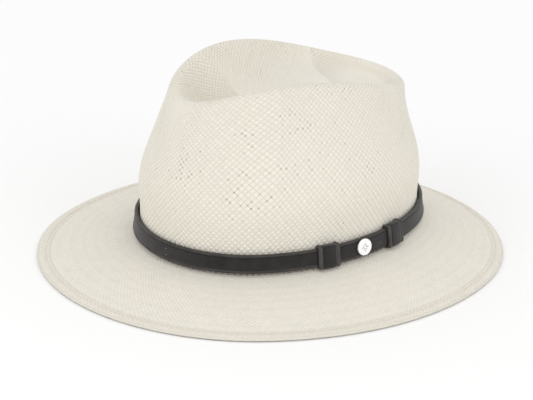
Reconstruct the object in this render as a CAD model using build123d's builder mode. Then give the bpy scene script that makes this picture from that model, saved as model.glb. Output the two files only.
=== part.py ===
"""Panama hat: a woven paper-straw crown and brim in one piece, with an inner band and a leather strap.

Millimetres. +Z is up, the front of the hat is -Y, the wearer's left is +X, and the brim's edge stands on
Z = 0. The crown leans a little forward over the brim, so its pieces are drawn on the plane HEAD.
"""

from build123d import *
import os
from math import atan, atan2, cos, degrees, hypot, radians, sin

os.makedirs("parts", exist_ok=True)

# ---------------------------------------------------------------- driving dimensions
STRAW = 0.8  # one woven layer

HEAD_HALF_LENGTH = 103.3  # outside of the straw at the break, where crown meets brim
HEAD_HALF_WIDTH = 84.0
HEAD_END_RADIUS = 77.7  # front and back arcs of the oval
WALL_TAPER = 0.121  # inward per millimetre of height at the foot of the crown

BRIM_WIDTH = 65.3
BRIM_FORWARD = 5.4  # the brim is this much longer in front and shorter behind
BREAK_HEIGHT = 20.2  # break above the table, at the middle of the head oval
CROWN_LEAN = 2.5  # degrees
HEM_WIDTH = 6.5
HEM_BEAD_RADIUS = 1.3  # rolled edge of the brim, over its wire
WIRE_RADIUS = 0.45
STITCH_MARGIN = 0.6  # hem's stitches outside its inner edge

# Level sections up the crown's wall above its foot: height, half length, half width, how far it sits back
CROWN_SECTIONS = (
    (8, 102.4, 83.1, 0.0),
    (17, 101.3, 82.0, 0.0),
    (30, 100.9, 81.3, 0.2),
    (50, 100.3, 80.8, 0.8),
    (72, 96.6, 75.3, 2.0),
    (90, 92.8, 67.0, 3.5),
    (125, 84.0, 50.0, 7.0),
)

CREST_HALF_WIDTH = 54.2  # ridge line of the crown, seen from above
CREST_HALF_LENGTH = 84.9
CREST_BACK = 4.4  # middle of the ridge line behind the middle of the head oval
CREST_SIDE_BACK = 11.5  # the ridge line's sides sit this much further back than its ends
CREST_NARROW = 0.025  # the ridge line is narrower in front
CREST_HEIGHTS = (108.3, 9.5, -6.8, -3.2)  # mean height, then the cosine terms once, twice, three times round
CREST_ROUNDING = 6.0
DENT_FLOOR = 95.0  # highest part of the dent's bottom
DENT_PEAK = 25.0  # how far behind the middle that is
DENT_CURVE = 0.0024  # the bottom falls away from there with the square of the distance
DENT_POWER = 1.5
CROWN_BLOCK = 150.0  # depth of the block that the crown's top is cut from

STRAP_GAP = 1.4  # strap's back to the straw
STRAP_THICKNESS = 2.6
STRAP_HEIGHT = 13.2
STRAP_FOOT = 2.0  # strap's lower edge above the break
SUEDE_HEIGHT = 8.4
SUEDE_BED = 8.6  # height of the recess for the suede
SUEDE_THICKNESS = 0.5
SUEDE_RECESS = 1.0
GLUE = 0.05
STRAP_CORNER = 1.1
STRAP_JOINT_GAP = 0.3
STRAP_JOINT = -0.6  # degrees round the side arc, where the strap's two ends meet
PATCH_ARC = (-4.4, 6.2)  # degrees, leather patch behind the joint
PATCH_MIDDLE = 0.9  # middle of the patch from the straw
PATCH_THICKNESS = 0.8
PATCH_HEIGHT = 10.0

KEEPER_WIDTH = 16.6
KEEPER_SUEDE_WIDTH = 10.2
KEEPER_CLEARANCE = 0.3
KEEPER_FRONT_THICKNESS = 2.0
KEEPER_BACK_THICKNESS = 0.7
KEEPER_WALL = 1.3
KEEPER_CORNER = 1.1
KEEPER_SUEDE_CORNER = 0.8
KEEPER_CORE_CORNER = 0.3
KEEPER_ANGLES = {"keeper_front": -8.9, "keeper_rear": 16.1}  # middles, degrees round the side arc

BADGE_ANGLE = 2.9
BADGE_RADIUS = 5.8
BADGE_THICKNESS = 1.7
BADGE_LIFT = 0.2  # the flat badge stands off the curved strap by this much
BADGE_EDGE = 0.7  # rounding of the badge's rims
BADGE_BASE_THICKNESS = 0.5
BADGE_BASE_RADIUS = 5.2
ENAMEL_GAP = 0.02
RIVET_RADIUS = 0.9
RIVET_END = 0.42  # inner end of the rivet, from the straw
WASHER_RADIUS = 2.2
WASHER_THICKNESS = 0.28

SWEATBAND_GAP = 0.35
SWEATBAND_THICKNESS = 0.9
SWEATBAND_HEIGHT = 30.0
SWEATBAND_TAPER = 0.155
SWEATBAND_FOOT = -0.4
SWEATBAND_CORNER = 0.3
SWEATBAND_JOINT_GAP = 0.5  # at the back
REED_RADIUS = 0.6
REED_CASING = 0.5  # thickness of the twill rolled round the reed
SEAM_HEIGHT = 4.0  # row of stitches above the sweatband's foot
THREAD_RADIUS = 0.25

BOW_HEIGHT = 22.0
BOW_THICKNESS = 1.0
BOW_GAP = 1.2  # bow's middle from the sweatband
BOW_LOOP = (6.0, 2.6)  # half length and half height of each loop
BOW_LOOP_HOLE = (4.2, 1.2)
BOW_KNOT = (3.4, 3.6)
BOW_TAIL = (2.4, 8.0)
BOW_TAIL_PLACE = (3.2, -4.2)
BOW_TAIL_SPLAY = 28.0  # degrees

TACK_TURNS = (90, 180, 270)  # head angles of the strap's thread tacks: back, right side and front
TACK_RADIUS = 0.4
TACK_START = 0.7  # from the straw
TACK_LENGTH = 0.6

# ---------------------------------------------------------------- planes and the oval of four tangent arcs
HEAD = Plane(
    origin=(0, BRIM_FORWARD, BREAK_HEIGHT),
    x_dir=(1, 0, 0),
    z_dir=(0, -sin(radians(CROWN_LEAN)), cos(radians(CROWN_LEAN))),
)
END_CENTRE = HEAD_HALF_LENGTH - HEAD_END_RADIUS
SIDE_RADIUS = (HEAD_HALF_WIDTH**2 + END_CENTRE**2 - HEAD_END_RADIUS**2) / (
    2 * (HEAD_HALF_WIDTH - HEAD_END_RADIUS)
)
SIDE_CENTRE = SIDE_RADIUS - HEAD_HALF_WIDTH
SIDE_SPAN = degrees(atan2(END_CENTRE, SIDE_CENTRE))  # half angle of each side arc
LEAN = degrees(atan(WALL_TAPER))
SIDE_AXIS = Axis(HEAD.from_local_coords(Vector(-SIDE_CENTRE, 0, 0)), HEAD.z_dir)


def oval_path(plane, grow, start, gap):
    """Four tangent arcs round the oval in a plane, open by a small gap at an angle of the +X side arc."""
    side = SIDE_RADIUS + grow
    end = HEAD_END_RADIUS + grow
    half_gap = degrees(gap / 2 / side)
    with BuildLine(plane) as path:
        CenterArc((-SIDE_CENTRE, 0), side, start + half_gap, SIDE_SPAN - start - half_gap)
        CenterArc((0, END_CENTRE), end, SIDE_SPAN, 180 - 2 * SIDE_SPAN)
        CenterArc((SIDE_CENTRE, 0), side, 180 - SIDE_SPAN, 2 * SIDE_SPAN)
        CenterArc((0, -END_CENTRE), end, 180 + SIDE_SPAN, 180 - 2 * SIDE_SPAN)
        CenterArc((-SIDE_CENTRE, 0), side, -SIDE_SPAN, SIDE_SPAN + start - half_gap)
    return path.wire()


def section_plane(path):
    """Plane across an oval path at its start, with X outward and Y up."""
    along = path % 0
    return Plane(origin=path @ 0, x_dir=along.cross(HEAD.z_dir), z_dir=-along)


def side_plane(angle):
    """Upright plane through the +X side arc's axis: X is outward from the straw, Y is up."""
    out = HEAD.x_dir * cos(radians(angle)) + HEAD.y_dir * sin(radians(angle))
    return Plane(origin=SIDE_AXIS.position + out * SIDE_RADIUS, x_dir=out, z_dir=out.cross(HEAD.z_dir))


# ---------------------------------------------------------------- straw body
def oval_face(half_length, half_width, back=0.0):
    """Oval of four tangent arcs in the current sketch, in the head oval's proportions at its ends."""
    end_radius = half_width * HEAD_END_RADIUS / HEAD_HALF_WIDTH
    centre = half_length - end_radius
    side_radius = (half_width**2 + centre**2 - end_radius**2) / (2 * (half_width - end_radius))
    side = side_radius - half_width
    span = degrees(atan2(centre, side))
    with BuildLine() as outline:
        CenterArc((-side, back), side_radius, -span, 2 * span)
        CenterArc((0, back + centre), end_radius, span, 180 - 2 * span)
        CenterArc((side, back), side_radius, 180 - span, 2 * span)
        CenterArc((0, back - centre), end_radius, 180 + span, 180 - 2 * span)
    make_face(outline.edges())


def head_arcs(grow):
    """The head oval, grown outward evenly, in the current line."""
    CenterArc((-SIDE_CENTRE, 0), SIDE_RADIUS + grow, -SIDE_SPAN, 2 * SIDE_SPAN)
    CenterArc((0, END_CENTRE), HEAD_END_RADIUS + grow, SIDE_SPAN, 180 - 2 * SIDE_SPAN)
    CenterArc((SIDE_CENTRE, 0), SIDE_RADIUS + grow, 180 - SIDE_SPAN, 2 * SIDE_SPAN)
    CenterArc((0, -END_CENTRE), HEAD_END_RADIUS + grow, 180 + SIDE_SPAN, 180 - 2 * SIDE_SPAN)


def grown_oval(grow):
    """The head oval, grown outward evenly, as a face in the current sketch."""
    with BuildLine() as outline:
        head_arcs(grow)
    make_face(outline.edges())


def top_height(x, y, inset):
    """Height of the crown's top over a point: ridge all round, rounded off outside and dented inside."""
    back = CREST_BACK + CREST_SIDE_BACK * min(abs(x) / CREST_HALF_WIDTH, 1) ** 2
    turn = atan2(x / CREST_HALF_WIDTH, (back - y) / CREST_HALF_LENGTH)
    width = CREST_HALF_WIDTH * (1 - CREST_NARROW * cos(turn))
    reach = hypot(x / width, (y - back) / CREST_HALF_LENGTH)
    mean, once, twice, thrice = CREST_HEIGHTS
    ridge = mean + once * cos(turn) + twice * cos(2 * turn) + thrice * cos(3 * turn)
    if reach > 1:
        outward = (reach - 1) * (CREST_HALF_WIDTH + CREST_HALF_LENGTH) / 2
        bent = min(outward, CREST_ROUNDING)
        return ridge - bent**2 / (2 * CREST_ROUNDING) - (outward - bent) - inset
    floor = DENT_FLOOR - DENT_CURVE * (y - DENT_PEAK) ** 2
    return ridge - (ridge - floor) * (1 - reach**2) ** DENT_POWER - inset


def under_top(inset):
    """Tall block whose upper side is the crown's top."""
    rows = [
        [HEAD.from_local_coords(Vector(x, y, top_height(x, y, inset))) for x in range(-90, 91, 10)]
        for y in range(-110, 121, 10)
    ]
    top = Face.make_surface_from_array_of_points(rows, tol=0.05, min_deg=3)
    return Solid.extrude(top, -HEAD.z_dir * CROWN_BLOCK)


def crown_form(inset, foot):
    """Solid crown, from its foot up to its top, drawn in by the inset all round."""
    block = under_top(inset)
    flare = -foot * WALL_TAPER
    sections = ((foot, HEAD_HALF_LENGTH + flare, HEAD_HALF_WIDTH + flare, 0), *CROWN_SECTIONS)
    with BuildPart() as form:
        for height, half_length, half_width, back in sections:
            with BuildSketch(HEAD.offset(height)):
                oval_face(half_length - inset, half_width - inset, back)
        loft()
        add(block, mode=Mode.INTERSECT)
    return form.part


def brim_form(drop):
    """Solid under the brim's top side, lowered by one or more layers of straw."""
    with BuildPart() as form:
        with BuildSketch(Plane.XY.offset(HEM_BEAD_RADIUS - drop)):
            grown_oval(BRIM_WIDTH - HEM_BEAD_RADIUS)
        with BuildSketch(HEAD.offset(-drop)):
            grown_oval(0)
        loft(ruled=True)
    return form.part


def edge_ring(grow, height, radius):
    """Closed round ring that follows the brim's edge, level with the table."""
    with BuildPart() as ring:
        with BuildLine(Plane.XY.offset(height)) as path:
            head_arcs(grow)
        with BuildSketch(Plane(origin=path.line @ 0, z_dir=path.line % 0)):
            Circle(radius)
        sweep(path=path.wire())
    return ring.part


EDGE_GROW = BRIM_WIDTH - HEM_BEAD_RADIUS
crown_outside = crown_form(0, 0)
crown_inside = crown_form(STRAW, -3 * STRAW)
hem_bead = edge_ring(EDGE_GROW, HEM_BEAD_RADIUS, HEM_BEAD_RADIUS)
wire_channel = edge_ring(EDGE_GROW, HEM_BEAD_RADIUS, WIRE_RADIUS + GLUE)
brim_layers = [brim_form(STRAW * layer) for layer in range(3)]
with BuildPart() as inside_hem:
    with BuildSketch(Plane.XY):
        grown_oval(BRIM_WIDTH - HEM_WIDTH)
    extrude(amount=2 * BREAK_HEIGHT)

with BuildPart() as straw_body:
    add(brim_layers[0])
    add(crown_outside)
    add(brim_layers[2], mode=Mode.SUBTRACT)
    add(brim_layers[1] & inside_hem.part, mode=Mode.SUBTRACT)
    add(hem_bead)
    add(crown_inside, mode=Mode.SUBTRACT)
    add(wire_channel, mode=Mode.SUBTRACT)
straw_body.part.label = "straw_body"
export_step(straw_body.part, "parts/straw_body.step")

with BuildPart() as brim_wire:
    add(edge_ring(EDGE_GROW, HEM_BEAD_RADIUS, WIRE_RADIUS))
brim_wire.part.label = "brim_wire"
export_step(brim_wire.part, "parts/brim_wire.step")

# One lockstitch thread round the hem, half sunk into the straw
STITCH_GROW = BRIM_WIDTH - HEM_WIDTH + STITCH_MARGIN
STITCH_RISE = BREAK_HEIGHT * (BRIM_WIDTH - STITCH_GROW) / BRIM_WIDTH
with BuildPart() as hem_stitching:
    add(edge_ring(STITCH_GROW, HEM_BEAD_RADIUS + STITCH_RISE, THREAD_RADIUS))
hem_stitching.part.label = "hem_stitching"
export_step(hem_stitching.part, "parts/hem_stitching.step")


# ---------------------------------------------------------------- strap
def leaning_box(middle, height_middle, thickness, height, corner=0.0, mode=Mode.ADD, taper=WALL_TAPER):
    """Rectangle in a section plane, leaning with the foot of the crown's wall."""
    inward = taper * height_middle
    with Locations(Location((middle - inward, height_middle, 0), (0, 0, degrees(atan(taper))))):
        if corner:
            RectangleRounded(thickness, height, corner, mode=mode)
        else:
            Rectangle(thickness, height, mode=mode)


STRAP_MIDDLE = STRAP_GAP + STRAP_THICKNESS / 2
STRAP_MIDDLE_HEIGHT = STRAP_FOOT + STRAP_HEIGHT / 2
STRAP_FACE = STRAP_GAP + STRAP_THICKNESS
SUEDE_MIDDLE = STRAP_FACE - SUEDE_RECESS + GLUE + SUEDE_THICKNESS / 2
strap_path = oval_path(HEAD, 0, STRAP_JOINT, STRAP_JOINT_GAP)
strap_section = section_plane(strap_path)


def rivet_cylinder(radius, low, high):
    """Round bar across the strap at the badge, between two distances from the straw."""
    inward = WALL_TAPER * STRAP_MIDDLE_HEIGHT
    plane = side_plane(BADGE_ANGLE)
    tilt = Plane(
        origin=plane.from_local_coords(Vector(-inward, STRAP_MIDDLE_HEIGHT, 0)),
        x_dir=plane.z_dir,
        z_dir=(plane.x_dir * cos(radians(LEAN)) + plane.y_dir * sin(radians(LEAN))),
    )
    with BuildPart() as bar:
        with BuildSketch(tilt.offset(low)):
            Circle(radius)
        extrude(amount=high - low)
    return bar.part


rivet_hole = rivet_cylinder(RIVET_RADIUS + GLUE, -STRAW, STRAP_FACE + STRAW)

with BuildPart() as strap:
    with BuildSketch(strap_section):
        leaning_box(STRAP_MIDDLE, STRAP_MIDDLE_HEIGHT, STRAP_THICKNESS, STRAP_HEIGHT, STRAP_CORNER)
        leaning_box(STRAP_FACE, STRAP_MIDDLE_HEIGHT, 2 * SUEDE_RECESS, SUEDE_BED, 0, Mode.SUBTRACT)
    sweep(path=strap_path)
    add(rivet_hole, mode=Mode.SUBTRACT)
strap.part.label = "strap"
export_step(strap.part, "parts/strap.step")

with BuildPart() as strap_suede:
    with BuildSketch(strap_section):
        leaning_box(SUEDE_MIDDLE, STRAP_MIDDLE_HEIGHT, SUEDE_THICKNESS, SUEDE_HEIGHT)
    sweep(path=strap_path)
    add(rivet_hole, mode=Mode.SUBTRACT)
strap_suede.part.label = "strap_suede"
export_step(strap_suede.part, "parts/strap_suede.step")

with BuildPart() as strap_patch:
    with BuildSketch(side_plane(PATCH_ARC[0])):
        leaning_box(PATCH_MIDDLE, STRAP_MIDDLE_HEIGHT, PATCH_THICKNESS, PATCH_HEIGHT)
    revolve(axis=SIDE_AXIS, revolution_arc=PATCH_ARC[1] - PATCH_ARC[0])
    add(rivet_hole, mode=Mode.SUBTRACT)
strap_patch.part.label = "strap_patch"
export_step(strap_patch.part, "parts/strap_patch.step")

# ---------------------------------------------------------------- keepers, loops that slide on the strap
WINDOW_BACK = STRAP_GAP - KEEPER_CLEARANCE
WINDOW_FRONT = STRAP_FACE + KEEPER_CLEARANCE
WINDOW_HEIGHT = STRAP_HEIGHT + 2 * KEEPER_CLEARANCE
KEEPER_BACK = WINDOW_BACK - KEEPER_BACK_THICKNESS
KEEPER_FACE = WINDOW_FRONT + KEEPER_FRONT_THICKNESS
KEEPER_HEIGHT = WINDOW_HEIGHT + 2 * KEEPER_WALL
CHANNEL = 0.8  # depth of the suede's channel round the front, top and bottom of a keeper
CHANNEL_START = 1.2  # the channel begins this far in front of the keeper's back
SUEDE_SINK = 0.3
CUTTER = 10.0  # thickness of the box that keeps the channel off the keeper's back


def loop_box(inset):
    """Outside of a keeper in its section, drawn in on every side but the back."""
    back, face = KEEPER_BACK, KEEPER_FACE - inset
    height = KEEPER_HEIGHT - 2 * inset
    return ((back + face) / 2, STRAP_MIDDLE_HEIGHT, face - back, height, KEEPER_CORE_CORNER, Mode.ADD)


window = (
    (WINDOW_BACK + WINDOW_FRONT) / 2,
    STRAP_MIDDLE_HEIGHT,
    WINDOW_FRONT - WINDOW_BACK,
    WINDOW_HEIGHT,
    0,
    Mode.SUBTRACT,
)
channel_core = loop_box(CHANNEL)[:5] + (Mode.SUBTRACT,)
behind = (KEEPER_BACK + CHANNEL_START - CUTTER / 2, STRAP_MIDDLE_HEIGHT)
behind_height = 2 * KEEPER_HEIGHT
edge_angle = degrees(KEEPER_WIDTH / 2 / (SIDE_RADIUS + KEEPER_FACE))
suede_angle = degrees(KEEPER_SUEDE_WIDTH / 2 / (SIDE_RADIUS + KEEPER_FACE))
gap_angle = degrees(GLUE / (SIDE_RADIUS + KEEPER_FACE))

for name, middle in KEEPER_ANGLES.items():
    with BuildPart() as keeper:
        with BuildSketch(side_plane(middle - edge_angle)):
            leaning_box(*loop_box(0)[:4], KEEPER_CORNER)
            leaning_box(*window)
        revolve(axis=SIDE_AXIS, revolution_arc=2 * edge_angle)
        with BuildSketch(side_plane(middle - suede_angle - gap_angle)):
            leaning_box(*loop_box(-1)[:4])
            leaning_box(*channel_core)
            leaning_box(*behind, CUTTER, behind_height, 0, Mode.SUBTRACT)
        revolve(axis=SIDE_AXIS, revolution_arc=2 * (suede_angle + gap_angle), mode=Mode.SUBTRACT)
    keeper.part.label = name
    export_step(keeper.part, f"parts/{name}.step")

    with BuildPart() as suede:
        with BuildSketch(side_plane(middle - suede_angle)):
            leaning_box(*loop_box(SUEDE_SINK)[:4], KEEPER_SUEDE_CORNER)
            leaning_box(*loop_box(CHANNEL - GLUE)[:5], Mode.SUBTRACT)
            leaning_box(*behind, CUTTER + 2 * GLUE, behind_height, 0, Mode.SUBTRACT)
        revolve(axis=SIDE_AXIS, revolution_arc=2 * suede_angle)
    suede.part.label = f"{name}_suede"
    export_step(suede.part, f"parts/{name}_suede.step")


# ---------------------------------------------------------------- badge
badge_back = STRAP_FACE + BADGE_LIFT
with BuildPart() as badge_rivet:
    add(rivet_cylinder(BADGE_BASE_RADIUS, badge_back, badge_back + BADGE_BASE_THICKNESS))
    add(rivet_cylinder(RIVET_RADIUS, RIVET_END, badge_back))
badge_rivet.part.label = "badge_rivet"
export_step(badge_rivet.part, "parts/badge_rivet.step")

badge_foot = badge_back + BADGE_BASE_THICKNESS + ENAMEL_GAP
with BuildPart() as badge_face:
    add(rivet_cylinder(BADGE_RADIUS, badge_foot, badge_foot + BADGE_THICKNESS))
    fillet(badge_face.edges().filter_by(GeomType.CIRCLE), BADGE_EDGE)
badge_face.part.label = "badge_face"
export_step(badge_face.part, "parts/badge_face.step")

with BuildPart() as rivet_washer:
    washer_front = RIVET_END - ENAMEL_GAP
    add(rivet_cylinder(WASHER_RADIUS, washer_front - WASHER_THICKNESS, washer_front))
rivet_washer.part.label = "rivet_washer"
export_step(rivet_washer.part, "parts/rivet_washer.step")


# ---------------------------------------------------------------- sweatband
BAND_MIDDLE = -STRAW / cos(radians(LEAN)) - SWEATBAND_GAP - SWEATBAND_THICKNESS / 2
BAND_MIDDLE_HEIGHT = SWEATBAND_FOOT + SWEATBAND_HEIGHT / 2
BEAD_RADIUS = REED_RADIUS + REED_CASING
REED_MIDDLE = BAND_MIDDLE - REED_CASING


def rear_path(gap):
    """Four tangent arcs round the head oval, open by a small gap in the middle of the back."""
    half_gap = degrees(gap / 2 / HEAD_END_RADIUS)
    quarter = 90 - SIDE_SPAN
    with BuildLine(HEAD) as path:
        CenterArc((0, END_CENTRE), HEAD_END_RADIUS, 90 + half_gap, quarter - half_gap)
        CenterArc((SIDE_CENTRE, 0), SIDE_RADIUS, 180 - SIDE_SPAN, 2 * SIDE_SPAN)
        CenterArc((0, -END_CENTRE), HEAD_END_RADIUS, 180 + SIDE_SPAN, 2 * quarter)
        CenterArc((-SIDE_CENTRE, 0), SIDE_RADIUS, -SIDE_SPAN, 2 * SIDE_SPAN)
        CenterArc((0, END_CENTRE), HEAD_END_RADIUS, SIDE_SPAN, quarter - half_gap)
    return path.wire()


band_path = rear_path(SWEATBAND_JOINT_GAP)
band_section = section_plane(band_path)

with BuildPart() as sweatband:
    with BuildSketch(band_section):
        leaning_box(
            BAND_MIDDLE,
            BAND_MIDDLE_HEIGHT,
            SWEATBAND_THICKNESS,
            SWEATBAND_HEIGHT,
            SWEATBAND_CORNER,
            taper=SWEATBAND_TAPER,
        )
        with Locations((REED_MIDDLE, SWEATBAND_FOOT + BEAD_RADIUS)):
            Circle(BEAD_RADIUS)
            Circle(REED_RADIUS + GLUE, mode=Mode.SUBTRACT)
    sweep(path=band_path)
sweatband.part.label = "sweatband"
export_step(sweatband.part, "parts/sweatband.step")

with BuildPart() as sweatband_reed:
    with BuildSketch(band_section):
        with Locations((REED_MIDDLE, SWEATBAND_FOOT + BEAD_RADIUS)):
            Circle(REED_RADIUS)
    sweep(path=band_path)
sweatband_reed.part.label = "sweatband_reed"
export_step(sweatband_reed.part, "parts/sweatband_reed.step")

with BuildPart() as sweatband_stitching:
    with BuildSketch(band_section):
        seam = BAND_MIDDLE - SWEATBAND_THICKNESS / 2
        with Locations((seam - SWEATBAND_TAPER * SEAM_HEIGHT, SEAM_HEIGHT)):
            Circle(THREAD_RADIUS)
    sweep(path=band_path)
sweatband_stitching.part.label = "sweatband_stitching"
export_step(sweatband_stitching.part, "parts/sweatband_stitching.step")

# Small flat bow over the sweatband's seam at the back
bow_y = HEAD_HALF_LENGTH + BAND_MIDDLE - SWEATBAND_THICKNESS - SWEATBAND_TAPER * BOW_HEIGHT - BOW_GAP
bow_plane = Plane(
    origin=HEAD.from_local_coords(Vector(0, bow_y, BOW_HEIGHT)),
    x_dir=HEAD.x_dir,
    z_dir=-HEAD.y_dir,
)
with BuildPart() as sweatband_bow:
    with BuildSketch(bow_plane):
        with Locations((-BOW_LOOP[0], 0), (BOW_LOOP[0], 0)):
            Ellipse(*BOW_LOOP)
            Ellipse(*BOW_LOOP_HOLE, mode=Mode.SUBTRACT)
        Rectangle(*BOW_KNOT)
        for side in (-1, 1):
            place = (side * BOW_TAIL_PLACE[0], BOW_TAIL_PLACE[1], 0)
            with Locations(Location(place, (0, 0, side * BOW_TAIL_SPLAY))):
                Rectangle(*BOW_TAIL)
    extrude(amount=BOW_THICKNESS)
sweatband_bow.part.label = "sweatband_bow"
export_step(sweatband_bow.part, "parts/sweatband_bow.step")


# ---------------------------------------------------------------- thread tacks that hold the strap on
with BuildPart() as strap_tacks:
    for turn in TACK_TURNS:
        reach = HEAD_HALF_WIDTH if turn == 180 else HEAD_HALF_LENGTH
        out = HEAD.x_dir * cos(radians(turn)) + HEAD.y_dir * sin(radians(turn))
        wall = reach - WALL_TAPER * STRAP_MIDDLE_HEIGHT
        foot = HEAD.origin + out * wall + HEAD.z_dir * STRAP_MIDDLE_HEIGHT
        with BuildSketch(Plane(origin=foot + out * TACK_START, z_dir=out)):
            Circle(TACK_RADIUS)
        extrude(amount=TACK_LENGTH)
strap_tacks.part.label = "strap_tacks"
export_step(strap_tacks.part, "parts/strap_tacks.step")
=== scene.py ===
"""Panama hat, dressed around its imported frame: woven straw body, leather strap with keepers and badge, inner band.

The makers of the pieces work in millimetres on the plane of the break, where crown meets brim, and turn their
points into metres in the frame at the end. The front of the hat is -Y and the wearer's left is +X.
"""

import logging
import math
from dataclasses import dataclass, field
from enum import Enum

import bpy
import numpy as np
from mathutils import Matrix, Vector


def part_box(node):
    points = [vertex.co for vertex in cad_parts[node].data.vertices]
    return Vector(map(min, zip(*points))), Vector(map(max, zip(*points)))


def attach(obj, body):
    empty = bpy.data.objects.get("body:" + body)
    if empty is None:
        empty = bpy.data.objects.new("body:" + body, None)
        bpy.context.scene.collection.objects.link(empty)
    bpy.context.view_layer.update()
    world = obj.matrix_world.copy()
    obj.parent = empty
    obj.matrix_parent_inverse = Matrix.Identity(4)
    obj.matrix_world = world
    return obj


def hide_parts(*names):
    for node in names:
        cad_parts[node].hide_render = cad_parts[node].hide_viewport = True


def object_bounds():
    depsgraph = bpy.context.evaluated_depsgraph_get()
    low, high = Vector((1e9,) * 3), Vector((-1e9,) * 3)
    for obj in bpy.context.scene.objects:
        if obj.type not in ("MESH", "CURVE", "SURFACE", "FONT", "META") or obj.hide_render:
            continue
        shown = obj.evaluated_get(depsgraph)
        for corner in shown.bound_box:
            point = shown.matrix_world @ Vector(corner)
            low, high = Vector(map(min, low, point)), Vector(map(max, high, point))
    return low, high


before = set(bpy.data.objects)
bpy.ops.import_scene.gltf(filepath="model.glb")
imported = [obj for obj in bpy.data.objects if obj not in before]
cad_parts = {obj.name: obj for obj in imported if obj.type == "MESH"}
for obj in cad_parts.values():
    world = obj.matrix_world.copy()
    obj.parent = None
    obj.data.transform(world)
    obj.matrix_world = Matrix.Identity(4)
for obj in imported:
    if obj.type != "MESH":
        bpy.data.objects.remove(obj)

LOG = logging.getLogger("panama_hat")
MM = 0.001
CAD_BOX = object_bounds()
WEAVE = "weave"  # UV map in strand counts: one square of the basket weave is one unit each way
REACH = "reach"  # millimetres from the break towards the brim's edge
DEPTH = "depth"  # how deep the weave shows, 0 to 1
Links = dict[str | int, object]


class Body(Enum):
    """CAD bodies that pieces ride on."""

    HAT = "hat"
    FRONT_KEEPER = "front_keeper"
    REAR_KEEPER = "rear_keeper"


# ---------------------------------------------------------------- shared helpers
def linear(colour: str) -> tuple[float, float, float, float]:
    """Turns an sRGB hex colour into the linear one that shaders take.

    Args:
        colour: six hex digits with a leading #.

    Returns:
        Red, green, blue and an alpha of 1, linear.
    """
    channels = [int(colour[i : i + 2], 16) / 255 for i in (1, 3, 5)]
    parts = [c / 12.92 if c <= 0.04045 else ((c + 0.055) / 1.055) ** 2.4 for c in channels]
    return (*parts, 1.0)


def add_node(tree: bpy.types.NodeTree, kind: str, settings: dict | None = None, inputs: Links | None = None):
    """Adds a node with its settings and links.

    Args:
        tree: the material's node tree.
        kind: the node's type name after "ShaderNode".
        settings: attributes of the node.
        inputs: for each input, by name or place, either a value or the output socket it is linked from.

    Returns:
        The new node.
    """
    node = tree.nodes.new("ShaderNode" + kind)
    for name, value in (settings or {}).items():
        setattr(node, name, value)
    for key, value in (inputs or {}).items():
        if isinstance(value, bpy.types.NodeSocket):
            tree.links.new(value, node.inputs[key])
        else:
            node.inputs[key].default_value = value
    return node


def arithmetic(tree: bpy.types.NodeTree, operation: str, *values: object) -> bpy.types.NodeSocket:
    """Adds a maths node.

    Args:
        tree: the material's node tree.
        operation: what the node does.
        values: numbers, or output sockets that it is linked from.

    Returns:
        Its result.
    """
    return add_node(tree, "Math", {"operation": operation}, dict(enumerate(values))).outputs[0]


def ramp(
    tree: bpy.types.NodeTree,
    value: bpy.types.NodeSocket,
    given: tuple[float, float],
    wanted: tuple[float, float],
    smooth: bool = False,
) -> bpy.types.NodeSocket:
    """Adds a node that carries one range over to another and holds the ends.

    Args:
        tree: the material's node tree.
        value: what is carried over.
        given: its range.
        wanted: the range that it becomes.
        smooth: eases in and out.

    Returns:
        The result.
    """
    settings = {"interpolation_type": "SMOOTHSTEP"} if smooth else None
    return add_node(tree, "MapRange", settings, dict(enumerate((value, *given, *wanted)))).outputs[0]


def noise(tree: bpy.types.NodeTree, place: bpy.types.NodeSocket, scale: float, detail: float) -> bpy.types.NodeSocket:
    """Adds cloudy noise.

    Args:
        tree: the material's node tree.
        place: where it is looked up.
        scale: how many features to one unit of the place.
        detail: its finer layers.

    Returns:
        Its value, about 0.5 in the middle.
    """
    return add_node(tree, "TexNoise", inputs={"Vector": place, "Scale": scale, "Detail": detail}).outputs[0]


def blend(
    tree: bpy.types.NodeTree, share: bpy.types.NodeSocket, first: object, second: object
) -> bpy.types.NodeSocket:
    """Adds a mix of two colours.

    Args:
        tree: the material's node tree.
        share: how much of the second one.
        first: colour at 0.
        second: colour at 1.

    Returns:
        The mixed colour.
    """
    return add_node(tree, "Mix", {"data_type": "RGBA"}, {0: share, 6: first, 7: second}).outputs[2]


def object_place(tree: bpy.types.NodeTree) -> bpy.types.NodeSocket:
    """Adds the piece's own coordinates, in metres.

    Args:
        tree: the material's node tree.

    Returns:
        The coordinates.
    """
    return add_node(tree, "TexCoord").outputs["Object"]


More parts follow.
